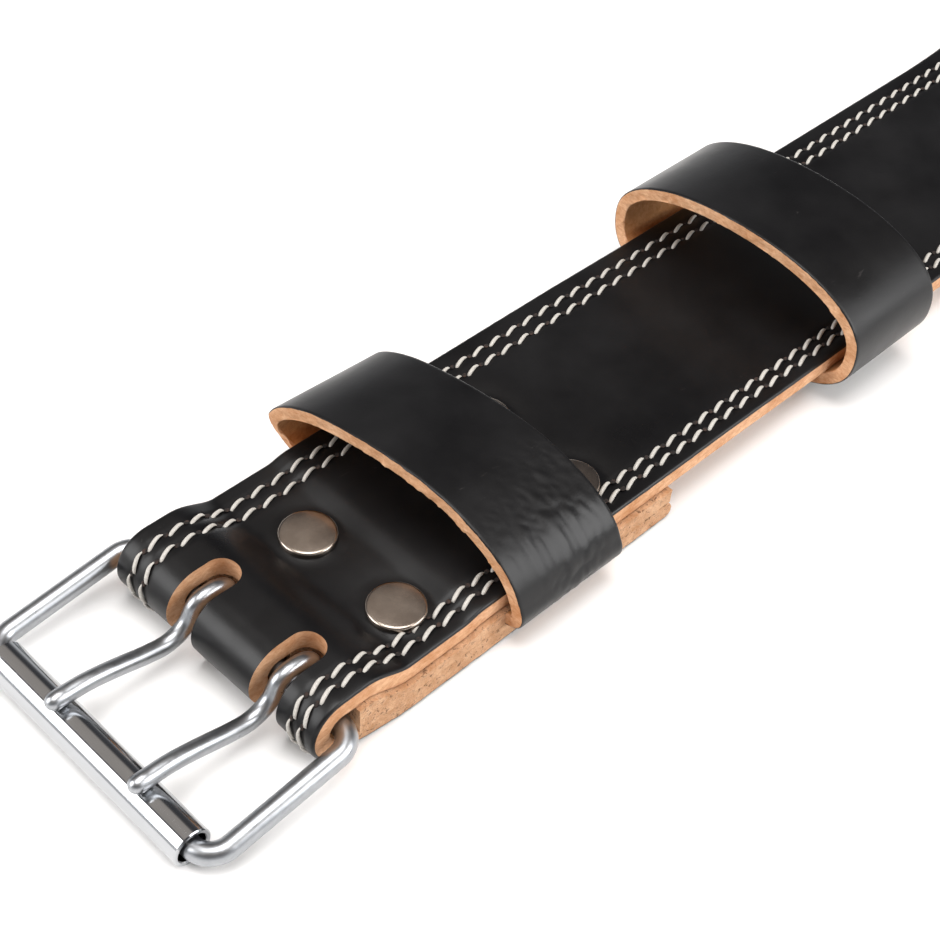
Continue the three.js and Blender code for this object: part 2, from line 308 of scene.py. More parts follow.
def smoothstep(value: float, low: float, high: float) -> float:
    """Rise smoothly from 0 at low to 1 at high.

    Args:
        value: The value to place.
        low: Where the rise starts.
        high: Where the rise ends.

    Returns:
        The share risen.
    """
    t = min(1.0, max(0.0, (value - low) / (high - low)))
    return t * t * (3 - 2 * t)


def add_node(
    tree: bpy.types.NodeTree,
    kind: str,
    settings: dict[str | int, Any] | None = None,
    links: dict[str | int, Any] | None = None,
    **properties: Any,
) -> bpy.types.Node:
    """Add one node with its settings and links.

    Args:
        tree: The node tree that gets it.
        kind: The node's type.
        settings: Values by input name or number.
        links: Sockets to link, by the input they go to.
        **properties: The node's own properties.

    Returns:
        The node.
    """
    node = tree.nodes.new(kind)
    for name, value in properties.items():
        setattr(node, name, value)
    for socket, value in (settings or {}).items():
        node.inputs[socket].default_value = value
    for socket, source in (links or {}).items():
        tree.links.new(source, node.inputs[socket])
    return node


class Painter:
    """Adds the nodes that colour and roughen a surface, each by what it does."""

    def __init__(self, tree: bpy.types.NodeTree, space: str = "Object") -> None:
        """Start on a tree.

        Args:
            tree: The node tree that gets the nodes.
            space: The coordinates that its textures take.
        """
        self.tree = tree
        self.place = add_node(tree, "ShaderNodeTexCoord").outputs[space]

    def stretched(self, scale: Point, degrees: float = 0.0) -> Socket:
        """Stretch the place for a texture that runs one way.

        Args:
            scale: Scale along each axis.
            degrees: Turn about Z.

        Returns:
            The place, turned and scaled.
        """
        settings = {"Scale": scale, "Rotation": (0.0, 0.0, math.radians(degrees))}
        node = add_node(self.tree, "ShaderNodeMapping", settings, {"Vector": self.place})
        return node.outputs["Vector"]

    def clouds(
        self, size_mm: float, settings: dict[str, float], place: Socket | None = None
    ) -> Socket:
        """Add a noise.

        Args:
            size_mm: About how large its spots are.
            settings: The noise's own inputs.
            place: A stretched place, or none for the plain one.

        Returns:
            The noise's value.
        """
        settings = {"Scale": 1 / (size_mm * MM), **settings}
        links = {"Vector": place or self.place}
        return add_node(self.tree, "ShaderNodeTexNoise", settings, links).outputs["Fac"]

    def remap(
        self, value: Socket, low: float, high: float, start: float = 0.0, end: float = 1.0
    ) -> Socket:
        """Turn one range of a value into another.

        Args:
            value: The value.
            low: Where its range starts.
            high: Where its range ends.
            start: What the low end becomes.
            end: What the high end becomes.

        Returns:
            The new value, held within its range.
        """
        settings = {"From Min": low, "From Max": high, "To Min": start, "To Max": end}
        node = add_node(self.tree, "ShaderNodeMapRange", settings, {"Value": value})
        return node.outputs["Result"]

    def mix(self, share: Socket, first: str | Socket, second: str) -> Socket:
        """Blend a colour into another.

        Args:
            share: The second colour's share.
            first: A hex colour, or what another mix gave.
            second: A hex colour.

        Returns:
            The blend.
        """
        settings = {7: linear(second)}
        links = {0: share}
        if isinstance(first, str):
            settings[6] = linear(first)
        else:
            links[6] = first
        return add_node(self.tree, "ShaderNodeMix", settings, links, data_type="RGBA").outputs[2]

    def calculate(self, operation: str, first: Socket, second: Socket | float) -> Socket:
        """Add or multiply two values.

        Args:
            operation: ADD or MULTIPLY.
            first: The first value.
            second: The second, as a number or a socket.

        Returns:
            The result.
        """
        settings = {1: second} if isinstance(second, float) else {}
        links = {0: first} if settings else {0: first, 1: second}
        node = add_node(self.tree, "ShaderNodeMath", settings, links, operation=operation)
        return node.outputs[0]

    def bump(self, height: Socket, strength: float, depth_mm: float) -> Socket:
        """Roughen the surface by a height.

        Args:
            height: The height, from 0 to 1.
            strength: How much of it is taken.
            depth_mm: What a height of 1 stands for.

        Returns:
            The surface's direction.
        """
        settings = {"Strength": strength, "Distance": depth_mm * MM}
        return add_node(self.tree, "ShaderNodeBump", settings, {"Height": height}).outputs["Normal"]


def new_material(name: str) -> tuple[bpy.types.Material, bpy.types.NodeTree]:
    """Make an empty material.

    Args:
        name: The material's name.

    Returns:
        The material and its tree.
    """
    material = bpy.data.materials.new(name)
    material.use_nodes = True
    material.node_tree.nodes.clear()
    return material, material.node_tree


def add_shader(tree: bpy.types.NodeTree, inputs: dict[str, Any]) -> None:
    """Close a material's tree with its shader.

    Args:
        tree: The material's tree.
        inputs: The shader's inputs, each a plain value or a socket.
    """
    links = {name: value for name, value in inputs.items() if isinstance(value, Socket)}
    settings = {name: value for name, value in inputs.items() if name not in links}
    shader = add_node(tree, "ShaderNodeBsdfPrincipled", settings, links)
    add_node(tree, "ShaderNodeOutputMaterial", links={"Surface": shader.outputs["BSDF"]})


@dataclass(frozen=True)
class Finish:
    """A finish that is made from a name and its own looks."""

    name: str

    def looks(self, paint: Painter) -> dict[str, Any]:
        """Say what the finish looks like.

        Args:
            paint: The painter that adds the nodes.

        Returns:
            The shader's inputs, each a plain value or a socket.
        """
        raise NotImplementedError

    def build(self) -> bpy.types.Material:
        """Make the material.

        Returns:
            The material.
        """
        material, tree = new_material(self.name)
        add_shader(tree, self.looks(Painter(tree)))
        return material


@dataclass(frozen=True)
class BlackTopGrain(Finish):
    """Full-grain cowhide dyed black, with a pressed and glazed topcoat.

    The topcoat gives a soft sheen that breaks up over the pores and fine creases.
    """

    name: str = "black_glazed_top_grain"
    deep: str = "#040405"
    worn: str = "#141314"
    scuff: str = "#5a5655"
    scuff_share: float = 0.655
    scuff_stretch: Point = (0.5, 1.7, 1.0)
    scuff_turn: float = 24.0
    pore_mm: float = 0.55
    crease_mm: float = 3.2
    cloud_mm: float = 26.0
    scuff_mm: float = 5.5
    smooth: float = 0.27
    matt: float = 0.46
    bump_mm: float = 0.05

    def looks(self, paint: Painter) -> dict[str, Any]:
        """Return the topcoat's colour, sheen and pores.

        Args:
            paint: The painter that adds the nodes.

        Returns:
            The shader's inputs.
        """
        cloud = paint.clouds(self.cloud_mm, {"Detail": 4.0, "Roughness": 0.6})
        streaks = paint.stretched(self.scuff_stretch, self.scuff_turn)
        torn_coat = {"Detail": 9.0, "Roughness": 0.72, "Distortion": 1.1}
        scratches = paint.clouds(self.scuff_mm, torn_coat, streaks)
        scuffed = paint.remap(scratches, self.scuff_share, 0.76, end=0.5)
        pores = add_node(
            paint.tree,
            "ShaderNodeTexVoronoi",
            {"Scale": 1 / (self.pore_mm * MM), "Randomness": 1.0},
            {"Vector": paint.place},
            feature="SMOOTH_F1",
        )
        creased = {"Detail": 7.0, "Roughness": 0.62, "Distortion": 0.4}
        creases = paint.clouds(self.crease_mm, creased)
        relief = paint.calculate("MULTIPLY", pores.outputs["Distance"], 0.35)
        return {
            "IOR": 1.48,
            "Specular IOR Level": 0.34,
            "Base Color": paint.mix(scuffed, paint.mix(cloud, self.deep, self.worn), self.scuff),
            "Roughness": paint.remap(cloud, 0.3, 0.75, self.smooth, self.matt),
            "Normal": paint.bump(paint.calculate("ADD", relief, creases), 0.35, self.bump_mm),
        }


@dataclass(frozen=True)
class CutLeather(Finish):
    """Vegetable-tanned leather where the knife went through it, left raw.

    Its fibres lie open, so it is matt and tan, with darker flecks and short streaks.
    """

    name: str = "tan_knife_cut_edge"
    light: str = "#dcb28e"
    dark: str = "#b07b52"
    fleck: str = "#7f5235"
    fibre_mm: float = 0.7
    cloud_mm: float = 7.0
    stretch: float = 0.45
    fleck_share: float = 0.66
    roughness: float = 0.85
    bump_mm: float = 0.16

    def looks(self, paint: Painter) -> dict[str, Any]:
        """Return the raw fibres' colour and nap.

        Args:
            paint: The painter that adds the nodes.

        Returns:
            The shader's inputs.
        """
        cloud = paint.clouds(self.cloud_mm, {"Detail": 6.0, "Roughness": 0.65})
        along = paint.stretched((self.stretch, self.stretch, 1.0))
        open_fibres = {"Detail": 6.0, "Roughness": 0.7, "Distortion": 0.6}
        fibres = paint.clouds(self.fibre_mm, open_fibres, along)
        share = paint.remap(paint.calculate("MULTIPLY", cloud, fibres), 0.14, 0.4)
        flecks = paint.remap(fibres, self.fleck_share, self.fleck_share + 0.1, end=0.85)
        return {
            "Roughness": self.roughness,
            "Specular IOR Level": 0.25,
            "Base Color": paint.mix(flecks, paint.mix(share, self.dark, self.light), self.fleck),
            "Normal": paint.bump(fibres, 0.6, self.bump_mm),
        }


@dataclass(frozen=True)
class SpunThread(Finish):
    """Bonded polyester thread, spun from filaments and left undyed, with a faint shine."""

    name: str = "bonded_white_thread"
    light: str = "#d3cfc8"
    dark: str = "#948e86"
    strand_mm: float = 0.35
    roughness: float = 0.55
    bump_mm: float = 0.08

    def looks(self, paint: Painter) -> dict[str, Any]:
        """Return the strands' colour and twist.

        Args:
            paint: The painter that adds the nodes.

        Returns:
            The shader's inputs.
        """
        strands = paint.clouds(self.strand_mm, {"Detail": 3.0})
        return {
            "Roughness": self.roughness,
            "Base Color": paint.mix(strands, self.dark, self.light),
            "Normal": paint.bump(strands, 0.4, self.bump_mm),
        }


@dataclass(frozen=True)
class NeedleHoleShade(Finish):
    """Dark oval painted for the shade that falls in a needle hole, mottled with the brown of its
    torn fibres.
    """

    name: str = "torn_needle_hole"
    shade: str = "#120d0b"
    torn: str = "#3a2820"
    tear_mm: float = 0.9
    roughness: float = 0.9

    def looks(self, paint: Painter) -> dict[str, Any]:
        """Return the hole's painted shade, mottled with the torn fibres' brown.

        Args:
            paint: The painter that adds the nodes.

        Returns:
            The shader's inputs.
        """
        # painted shade: the dark colour stands for the shade deep in the hole, the lighter brown
        # for torn fibres
        share = paint.remap(paint.clouds(self.tear_mm, {"Detail": 4.0}), 0.45, 0.7)
        return {
            "Roughness": self.roughness,
            "Base Color": paint.mix(share, self.shade, self.torn),
        }


@dataclass(frozen=True)
class PlatedSteel(Finish):
    """Steel with a plated skin, whose drawn, stamped or rolled surface shows through it."""

    light: str
    dark: str
    smooth: float
    dull: float
    grain_mm: float
    bump_mm: float
    stretch: Point = (1.0, 1.0, 1.0)

    def looks(self, paint: Painter) -> dict[str, Any]:
        """Return the plating's colour, shine and grain.

        Args:
            paint: The painter that adds the nodes.

        Returns:
            The shader's inputs.
        """
        drawn = paint.stretched(self.stretch)
        grain = paint.clouds(self.grain_mm, {"Detail": 5.0, "Roughness": 0.6}, drawn)
        return {
            "Metallic": 1.0,
            "Base Color": paint.mix(grain, self.dark, self.light),
            "Roughness": paint.remap(grain, 0.3, 0.7, self.smooth, self.dull),
            "Normal": paint.bump(grain, 0.12, self.bump_mm),
        }


NICKEL_CAP = PlatedSteel("nickel_plated_stamping", "#c2b6aa", "#7f7269", 0.2, 0.27, 7.0, 0.006)
ZINC_WIRE = PlatedSteel("zinc_plated_drawn_wire", "#b0b2b5", "#8f9296", 0.27, 0.36, 2.0, 0.012)
ROLLED_CHROME = PlatedSteel(
    "bright_rolled_tube", "#c4c6c8", "#a9abae", 0.1, 0.17, 4.0, 0.004, (1.0, 0.12, 1.0)
)
ROUGH_CUT = CutLeather(
    name="speckled_rough_edge",
    light="#dcb491",
    dark="#ad7f5a",
    fleck="#5a3b24",
    fibre_mm=1.0,
    cloud_mm=3.0,
    stretch=0.9,
    fleck_share=0.535,
    bump_mm=0.9,
)
FLESH_SIDE = CutLeather(
    name="napped_flesh_side",
    light="#c8986a",
    dark="#a06f45",
    fleck="#6e4a2f",
    fibre_mm=1.3,
    cloud_mm=22.0,
    stretch=1.0,
    fleck_share=0.7,
    roughness=0.95,
    bump_mm=0.22,
)


class Workshop:
    """Makes each finish once and hands it out."""

    def __init__(self) -> None:
        """Start with no finish made."""
        self._made: dict[str, bpy.types.Material] = {}

    def finish(self, recipe: Finish) -> bpy.types.Material:
        """Return a recipe's material, made the first time it is asked for.

        Args:
            recipe: The finish.

        Returns:
            The material.
        """
        if recipe.name not in self._made:
            self._made[recipe.name] = recipe.build()
        return self._made[recipe.name]

    def leather(self) -> list[bpy.types.Material]:
        """Return the leather materials in the order of the zones.

        Returns:
            One material for each zone.
        """
        recipes = {
            Zone.GRAIN: BlackTopGrain(),
            Zone.EDGE: CutLeather(),
            Zone.FLESH: FLESH_SIDE,
            Zone.ROUGH_EDGE: ROUGH_CUT,
        }
        return [self.finish(recipes[zone]) for zone in Zone]


def torn(first: float, second: float, amount: float) -> float:
    """Return how far a knife-cut wall stands in or out, as its fibres tear unevenly.

    Args:
        first: One place along the wall, in millimetres.
        second: The other.
        amount: The most that it stands out.

    Returns:
        Millimetres, either way.
    """
    clump_mm = 2.6
    fibre_mm = 0.9
    coarse = noise.noise(Vector((first / clump_mm, second / clump_mm, 7.5)))
    fine = noise.noise(Vector((first / fibre_mm, second / fibre_mm, 2.5)))
    return amount * (0.65 * coarse + 0.5 * fine)


def round_edge(
    half: float, corner: float, corner_steps: int, wall_points: int
) -> list[tuple[float, float]]:
    """Return a cut edge with round corners, from the upper face to the lower.

    Args:
        half: Half the leather's thickness.
        corner: The corners' radius.
        corner_steps: Steps round each corner.
        wall_points: Points between the corners.

    Returns:
        Pairs of inset from the edge and distance out from the middle.
    """
    flat = half - corner
    upper = []
    for i in range(corner_steps + 1):
        turn = RIGHT_ANGLE * i / corner_steps
        upper.append((corner * (1 - math.sin(turn)), flat + corner * math.cos(turn)))
    wall = [(0.0, flat - 2 * flat * i / (wall_points + 1)) for i in range(1, wall_points + 1)]
    return [*upper, *wall, *((inset, -out) for inset, out in reversed(upper))]


def new_object(name: str, mesh: bpy.types.Mesh) -> bpy.types.Object:
    """Put a mesh in the scene.

    Args:
        name: The object's name.
        mesh: Its mesh.

    Returns:
        The object.
    """
    made = bpy.data.objects.new(name, mesh)
    bpy.context.scene.collection.objects.link(made)
    return made


def grid_mesh(
    name: str,
    rings: Sequence[Sequence[Point]],
    zone_of: Callable[[int, int], Zone],
    closed_path: bool = False,
) -> bpy.types.Mesh:
    """Join rings of points into one closed skin.

    Args:
        name: The mesh's name.
        rings: Rings of the same count of points, in metres.
        zone_of: Gives a face's zone from its ring and its point.
        closed_path: Whether the last ring joins the first.

    Returns:
        The mesh, with flat ends where its path is open.
    """
    count = len(rings[0])
    joins = len(rings) if closed_path else len(rings) - 1
    faces = []
    zones = []
    for ring in range(joins):
        near = ring * count
        far = ((ring + 1) % len(rings)) * count
        for point in range(count):
            after = (point + 1) % count
            faces.append((near + point, near + after, far + after, far + point))
            zones.append(zone_of(ring, point).value)
    if not closed_path:
        end = (len(rings) - 1) * count
        faces.append(tuple(range(count - 1, -1, -1)))
        faces.append(tuple(range(end, end + count)))
        zones += [zone_of(0, 0).value, zone_of(joins - 1, 0).value]
    mesh = bpy.data.meshes.new(name)
    mesh.from_pydata([p for ring in rings for p in ring], [], faces)
    mesh.polygons.foreach_set("material_index", zones)
    mesh.update()
    return mesh


def face_outwards(mesh: bpy.types.Mesh) -> None:
    """Turn a closed mesh's faces to point out.

    Args:
        mesh: The mesh.
    """
    work = bmesh.new()
    work.from_mesh(mesh)
    bmesh.ops.recalc_face_normals(work, faces=work.faces)
    work.to_mesh(mesh)
    work.free()


def smooth_by_angle(mesh: bpy.types.Mesh, degrees: float) -> None:
    """Shade a mesh smooth up to an angle between its faces.

    Args:
        mesh: The mesh.
        degrees: The angle past which an edge stays sharp.
    """
    mesh.shade_smooth()
    mesh.set_sharp_from_angle(angle=math.radians(degrees))


def take_evaluated(made: bpy.types.Object) -> None:
    """Turn an object's modifiers into its own plain mesh.

    Args:
        made: The object, which keeps its materials.
    """
    depsgraph = bpy.context.evaluated_depsgraph_get()
    evaluated = made.evaluated_get(depsgraph)
    mesh = bpy.data.meshes.new_from_object(evaluated, depsgraph=depsgraph)
    made.modifiers.clear()
    old = made.data
    made.data = mesh
    mesh.name = made.name
    bpy.data.meshes.remove(old)


def combine(
    made: bpy.types.Object, others: Sequence[bpy.types.Object], operation: str
) -> None:
    """Cut solids out of an object or join them to it, with the faces' zones kept.

    Args:
        made: The object.
        others: The solids, which are removed afterwards.
        operation: DIFFERENCE or UNION.
    """
    for other in others:
        for material in made.data.materials:
            other.data.materials.append(material)
        modifier = made.modifiers.new(other.name, "BOOLEAN")
        modifier.operation = operation
        modifier.solver = "EXACT"
        modifier.object = other
    take_evaluated(made)
    for other in others:
        bpy.data.meshes.remove(other.data)


def round_cutter(
    name: str,
    places: Iterable[tuple[float, float]],
    radius: float,
    low: float,
    high: float,
    zone: Zone,
) -> bpy.types.Object:
    """Make upright round cutters, in metres.

    Args:
        name: The cutter's name.
        places: The middles of the holes.
        radius: Their radius.
        low: Where they start.
        high: Where they end.
        zone: The zone of the walls that they leave.

    Returns:
        One object that holds them all.
    """
    work = bmesh.new()
    for x, y in places:
        bmesh.ops.create_cone(
            work,
            cap_ends=True,
            segments=HOLE_SEGMENTS,
            radius1=radius,
            radius2=radius,
            depth=high - low,
            matrix=Matrix.Translation((x, y, (low + high) / 2)),
        )
    mesh = bpy.data.meshes.new(name)
    work.to_mesh(mesh)
    work.free()
    mesh.polygons.foreach_set("material_index", [zone.value] * len(mesh.polygons))
    return new_object(name, mesh)


@dataclass(frozen=True)
class Row:
    """One row of a height table."""

    at: float
    height: float


class HeightLine:
    """A height that runs smoothly through rows and stays flat between two equal ones."""

    def __init__(self, rows: Sequence[Row]) -> None:
        """Keep the rows.

        Args:
            rows: The table, in order along the belt.
        """
        self.rows = list(rows)

    def _slope(self, i: int) -> float:
        """Return the slope at a row, zero at a turning point and at both ends."""
        rows = self.rows
        if i <= 0 or i >= len(rows) - 1:
            return 0.0
        before = (rows[i].height - rows[i - 1].height) / (rows[i].at - rows[i - 1].at)
        after = (rows[i + 1].height - rows[i].height) / (rows[i + 1].at - rows[i].at)
        return 0.0 if before * after <= 0 else 2 * before * after / (before + after)

    def height(self, at: float) -> float:
        """Return the height at a place.

        Args:
            at: Place along the belt.

        Returns:
            The height there.
        """
        rows = self.rows
        if at <= rows[0].at:
            return rows[0].height
        if at >= rows[-1].at:
            return rows[-1].height
        i = next(k for k in range(len(rows) - 1) if at < rows[k + 1].at)
        span = rows[i + 1].at - rows[i].at
        u = (at - rows[i].at) / span
        v = 1 - u
        return (
            rows[i].height * (1 + 2 * u) * v * v
            + self._slope(i) * span * u * v * v
            + rows[i + 1].height * (1 + 2 * v) * u * u
            - self._slope(i + 1) * span * v * u * u
        )


@dataclass(frozen=True)
class Station:
    """The strap's middle line at one place: where it is, how wide, how thick and which layer."""

    at: float
    height: float
    half: float
    shift: float = 0.0
    thin: float = 1.0
    turned: bool = False


def spread(start: float, end: float, step: float) -> list[float]:
    """Return evenly spaced places from start up to, and without, end.

    Args:
        start: The first place.
        end: The place that the last step reaches.
        step: The longest step.

    Returns:
        The places.
    """
    count = max(1, math.ceil((end - start) / step))
    return [start + (end - start) * i / count for i in range(count)]


@dataclass
class StrapLine:
    """The strap's middle line, from its turned-back end, round the fold and on to the tip."""

    sizes: BeltSizes
    fine_step: float = 1.2
    taper_step: float = 2.5
    back_step: float = 5.0
    fold_steps: int = 36
    tip_steps: int = 30
    end_round: float = 1.9
    end_steps: int = 5
    upper: HeightLine = field(init=False)
    lower: HeightLine = field(init=False)

    def __post_init__(self) -> None:
        """Work out the two tables of heights from the sizes."""
        s = self.sizes
        t = s.strap_thickness
        clear = s.cap_radius + s.clamp_flat
        settled = s.stack_top - 0.1 * t
        upper = [
            Row(s.bar_at, s.crown_top),
            Row(s.bar_at + 2 * s.tunnel_radius, s.crown_top),
            Row(-clear, s.clamped_top),
            Row(clear, s.clamped_top),
            Row(s.fixed_keeper_at - s.fixed_keeper_flat, s.stack_top),
            Row(s.tab_end + 4 * t, s.stack_top),
            Row(s.sliding_keeper_at, settled),
            Row(s.buckle_end_length, settled),
            Row(s.back_start, t),
        ]
        lower = [Row(s.bar_at, s.fold_lift), Row(s.tab_start, 0.0)]
        self.upper = HeightLine([Row(r.at, r.height - s.half_strap) for r in upper])
        self.lower = HeightLine([Row(r.at, r.height + s.half_strap) for r in lower])

    def half_width(self, at: float) -> float:
        """Return half the strap's width at a place.

        Args:
            at: Place along the belt.

        Returns:
            Half the width.
        """
        s = self.sizes
        rise = (s.back_width - s.strap_width) / 2
        up = smoothstep(at, s.buckle_end_length, s.back_start)
        down = smoothstep(at, s.back_end, s.tongue_start)
        into_tip = max(0.0, (at - (s.tip_at - s.tip_length)) / s.tip_length)
        straight = s.strap_width / 2 + rise * (up - down)
        return straight * math.sqrt(max(0.0, 1 - into_tip * into_tip))

    def turned_back(self) -> list[Station]:
        """Return the stations of the turned-back layer, from its end to the fold.

        Returns:
            The stations.
        """
        s = self.sizes
        half = s.strap_width / 2
        end = s.turned_back_length
        places = [(at, 1.0) for at in spread(s.bar_at, end - self.end_round, self.fine_step)]
        for i in range(self.end_steps):
            turn = RIGHT_ANGLE * i / self.end_steps
            places.append((end - self.end_round * (1 - math.sin(turn)), math.cos(turn)))
        stations = []
        for at, thin in reversed(places):
            share = smoothstep(at, s.bar_at, -s.cap_radius)
            shift = -s.turned_back_shift * share
            stations.append(Station(at, self.lower.height(at), half, shift, thin, True))
        return stations

    def fold(self) -> list[Station]:
        """Return the stations of the fold round the buckle's bar.

        Returns:
            The stations.
        """
        s = self.sizes
        radius = s.tunnel_radius + s.half_strap
        stations = []
        for i in range(1, self.fold_steps):
            turn = math.pi * i / self.fold_steps
            at = s.bar_at - radius * math.sin(turn)
            stations.append(Station(at, s.bar_height - radius * math.cos(turn), s.strap_width / 2))
        return stations

    def face(self) -> list[Station]:
        """Return the stations of the upper layer, from the fold to the tip.

        Returns:
            The stations.
        """
        s = self.sizes
        round_start = s.tip_at - s.tip_length
        places = [
            *spread(s.bar_at, s.tab_start, self.fine_step),
            *spread(s.tab_start, s.tab_end, self.fine_step),
            *spread(s.tab_end, s.buckle_end_length, self.fine_step),
            *spread(s.buckle_end_length, s.back_start, self.taper_step),
            *spread(s.back_start, s.back_end, self.back_step),
            *spread(s.back_end, s.tongue_start, self.taper_step),
            *spread(s.tongue_start, round_start, self.taper_step),
        ]
        for i in range(self.tip_steps):
            places.append(round_start + s.tip_length * math.sin(RIGHT_ANGLE * i / self.tip_steps))
        return [Station(at, self.upper.height(at), self.half_width(at)) for at in places]

    def stations(self) -> list[Station]:
        """Return all the stations in order.

        Returns:
            The stations.
        """
        return [*self.turned_back(), *self.fold(), *self.face()]


def headings(stations: Sequence[Station]) -> list[tuple[float, float]]:
    """Return the middle line's direction at each station.

    Args:
        stations: The stations in order.

    Returns:
        Unit vectors along the belt and up.
    """
    last = len(stations) - 1
    found = []
    for i in range(len(stations)):
        before = stations[max(0, i - 1)]
        after = stations[min(last, i + 1)]
        run = after.at - before.at
        rise = after.height - before.height
        length = math.hypot(run, rise)
        found.append((run / length, rise / length))
    return found


@dataclass
class Strap:
    """The belt's strap: one length of thick leather, folded round the buckle's bar and riveted."""

    sizes: BeltSizes
    workshop: Workshop
    corner: float = 0.7
    corner_steps: int = 3
    edge_steps: int = 3
    near_step: float = 0.75
    near_reach: float = 11.25
    middle_steps: int = 22
    under_steps: int = 14
    groove_depth: float = 0.28
    groove_half: float = 0.75
    edge_rough: float = 0.08
    torn_rough: float = 0.2
    dent_depth: float = 0.45
    dent_reach: float = 4.0
    dent_edge: float = 1.2
    ripple: float = 0.22
    ripple_along: float = 17.0
    ripple_across: float = 13.0
    flat_rim: tuple[float, float] = (0.5, 6.0)

    def relief(self, station: Station, across: float, inset: float) -> float:
        """Return how far the grain lies in or out at a place.

        Args:
            station: The place along the belt.
            across: Distance from the centre line.
            inset: Distance from the nearer edge.

        Returns:
            Millimetres out, negative in a groove or a dent.
        """
        sizes = self.sizes
        rows = sizes.stitch_rows_left if across > 0 else sizes.stitch_rows_right
        depth = 0.0
        for row in rows:
            depth -= self.groove_depth * math.exp(-(((inset - row) / self.groove_half) ** 2))
        if not station.turned:
            for at, side, _ in sizes.rivet_places.values():
                past = math.hypot(station.at - at, across - side) - sizes.cap_radius
                if 0 <= past < 3 * self.dent_reach:
                    swell = math.exp(-((past / self.dent_reach) ** 2))
                    depth -= self.dent_depth * swell * smoothstep(past, 0, self.dent_edge)
        along = self.ripple_along
        place = (station.at / along, across / self.ripple_across, station.height / along)
        wave = noise.noise(Vector(place))
        return depth + self.ripple * wave * smoothstep(inset, *self.flat_rim)

    def ring(
        self, station: Station, heading: tuple[float, float]
    ) -> tuple[list[Point], list[Zone]]:
        """Return the strap's section at a station.

        Args:
            station: The place along the belt.
            heading: The middle line's direction there.

        Returns:
            The ring's points in metres, and the zone of the face after each.
        """
        half_out = self.sizes.half_strap
        edge = round_edge(half_out, self.corner, self.corner_steps, self.edge_steps)
        squeeze = min(1.0, station.half / (self.near_reach + 1))
        near = [self.corner + d for d in spread(0, self.near_reach, self.near_step)][1:]
        inner = station.half - (self.corner + self.near_reach) * squeeze
        middle = [inner - 2 * inner * i / self.middle_steps for i in range(self.middle_steps + 1)]
        places: list[tuple[float, float, Zone]] = []
        for inset in near:
            places.append((station.half - inset * squeeze, half_out, Zone.GRAIN))
        for across in middle:
            places.append((across, half_out, Zone.GRAIN))
        for inset in reversed(near):
            places.append((-station.half + inset * squeeze, half_out, Zone.GRAIN))
        first_edge = len(places)
        for inset, out in edge:
            places.append((-station.half + inset * squeeze, out, Zone.EDGE))
        below = station.half - self.corner * squeeze
        for i in range(1, self.under_steps):
            across = -below + 2 * below * i / self.under_steps
            places.append((across, -half_out, Zone.FLESH))
        second_edge = len(places)
        for inset, out in reversed(edge):
            places.append((station.half - inset * squeeze, out, Zone.EDGE))
        zones = [zone for _, _, zone in places]
        last = len(edge) - 1
        for i in range(self.corner_steps):
            zones[first_edge + i] = Zone.GRAIN
            zones[second_edge + last - 1 - i] = Zone.GRAIN
        zones[first_edge + last] = Zone.FLESH
        zones[second_edge - 1] = Zone.FLESH
        zones[-1] = Zone.GRAIN
        rough = self.torn_rough if station.turned else self.edge_rough
        run, rise = heading
        points = []
        for across, out, zone in places:
            if zone is Zone.GRAIN:
                out += self.relief(station, across, station.half - abs(across))
            elif zone is Zone.EDGE:
                ragged = torn(station.at, station.height + run * out, rough)
                across += math.copysign(ragged, across)
            out *= station.thin
            points.append(
                self.sizes.metres(
                    station.at - rise * out, station.shift + across, station.height + run * out
                )
            )
        return points, zones

    def build(self) -> bpy.types.Object:
        """Make the strap with its slots, punched holes and rivet seats.

        Returns:
            The strap.
        """
        s = self.sizes
        stations = StrapLine(s).stations()
        rings = []
        ring_zones = []
        for station, heading in zip(stations, headings(stations)):
            points, zones = self.ring(station, heading)
            if station.turned:
                zones = [Zone.ROUGH_EDGE if zone is Zone.EDGE else zone for zone in zones]
            rings.append(points)
            ring_zones.append(zones)
        mesh = grid_mesh("strap_leather", rings, lambda ring, point: ring_zones[ring][point])
        strap = new_object("strap_leather", mesh)
        for material in self.workshop.leather():
            mesh.materials.append(material)
        high = 2 * s.crown_top * MM
        shank = (s.shank_radius + s.gap) * MM
        washer = (s.washer_radius + s.gap) * MM
        recess = s.washer_recess * MM
        rivets = s.rivet_centres
        cutters = [
            slot_cutter(s, across, s.slot_width / 2, s.bar_at + s.slot_reach, Zone.EDGE)
            for across in s.prong_places.values()
        ]
        cutters += [
            round_cutter("shank_holes", rivets, shank, -MM, high, Zone.EDGE),
            round_cutter("washer_seats", rivets, washer, -MM, recess, Zone.GRAIN),
            round_cutter("tongue_holes", s.tongue_holes, s.hole_radius * MM, -MM, high, Zone.EDGE),
        ]
        combine(strap, cutters, "DIFFERENCE")
        smooth_by_angle(strap.data, LEATHER_CREASE_DEGREES)
        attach(strap, "belt")
        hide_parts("strap")
        return strap


def slot_cutter(
    sizes: BeltSizes, across: float, half: float, reach: float, zone: Zone
) -> bpy.types.Object:
    """Make the cutter of one prong's slot, with a round end.

    Args:
        sizes: The belt's sizes.
        across: The slot's distance from the centre line.
        half: Half the slot's width.
        reach: Place along the belt where it ends.
        zone: The material of the walls that it leaves.

    Returns:
        The cutter.
    """
    end_steps = 24
    below = -5.0
    start = sizes.bar_at - 3 * sizes.tunnel_radius - sizes.strap_thickness
    outline = [(start, across + half), (start, across - half)]
    for i in range(end_steps + 1):
        turn = -RIGHT_ANGLE + math.pi * i / end_steps
        outline.append((reach - half + half * math.cos(turn), across + half * math.sin(turn)))
    rings = [
        [sizes.metres(at, side, height) for at, side in outline]
        for height in (below, 2 * sizes.crown_top)
    ]
    return new_object("slot_cutter", grid_mesh("slot_cutter", rings, lambda *_: zone))


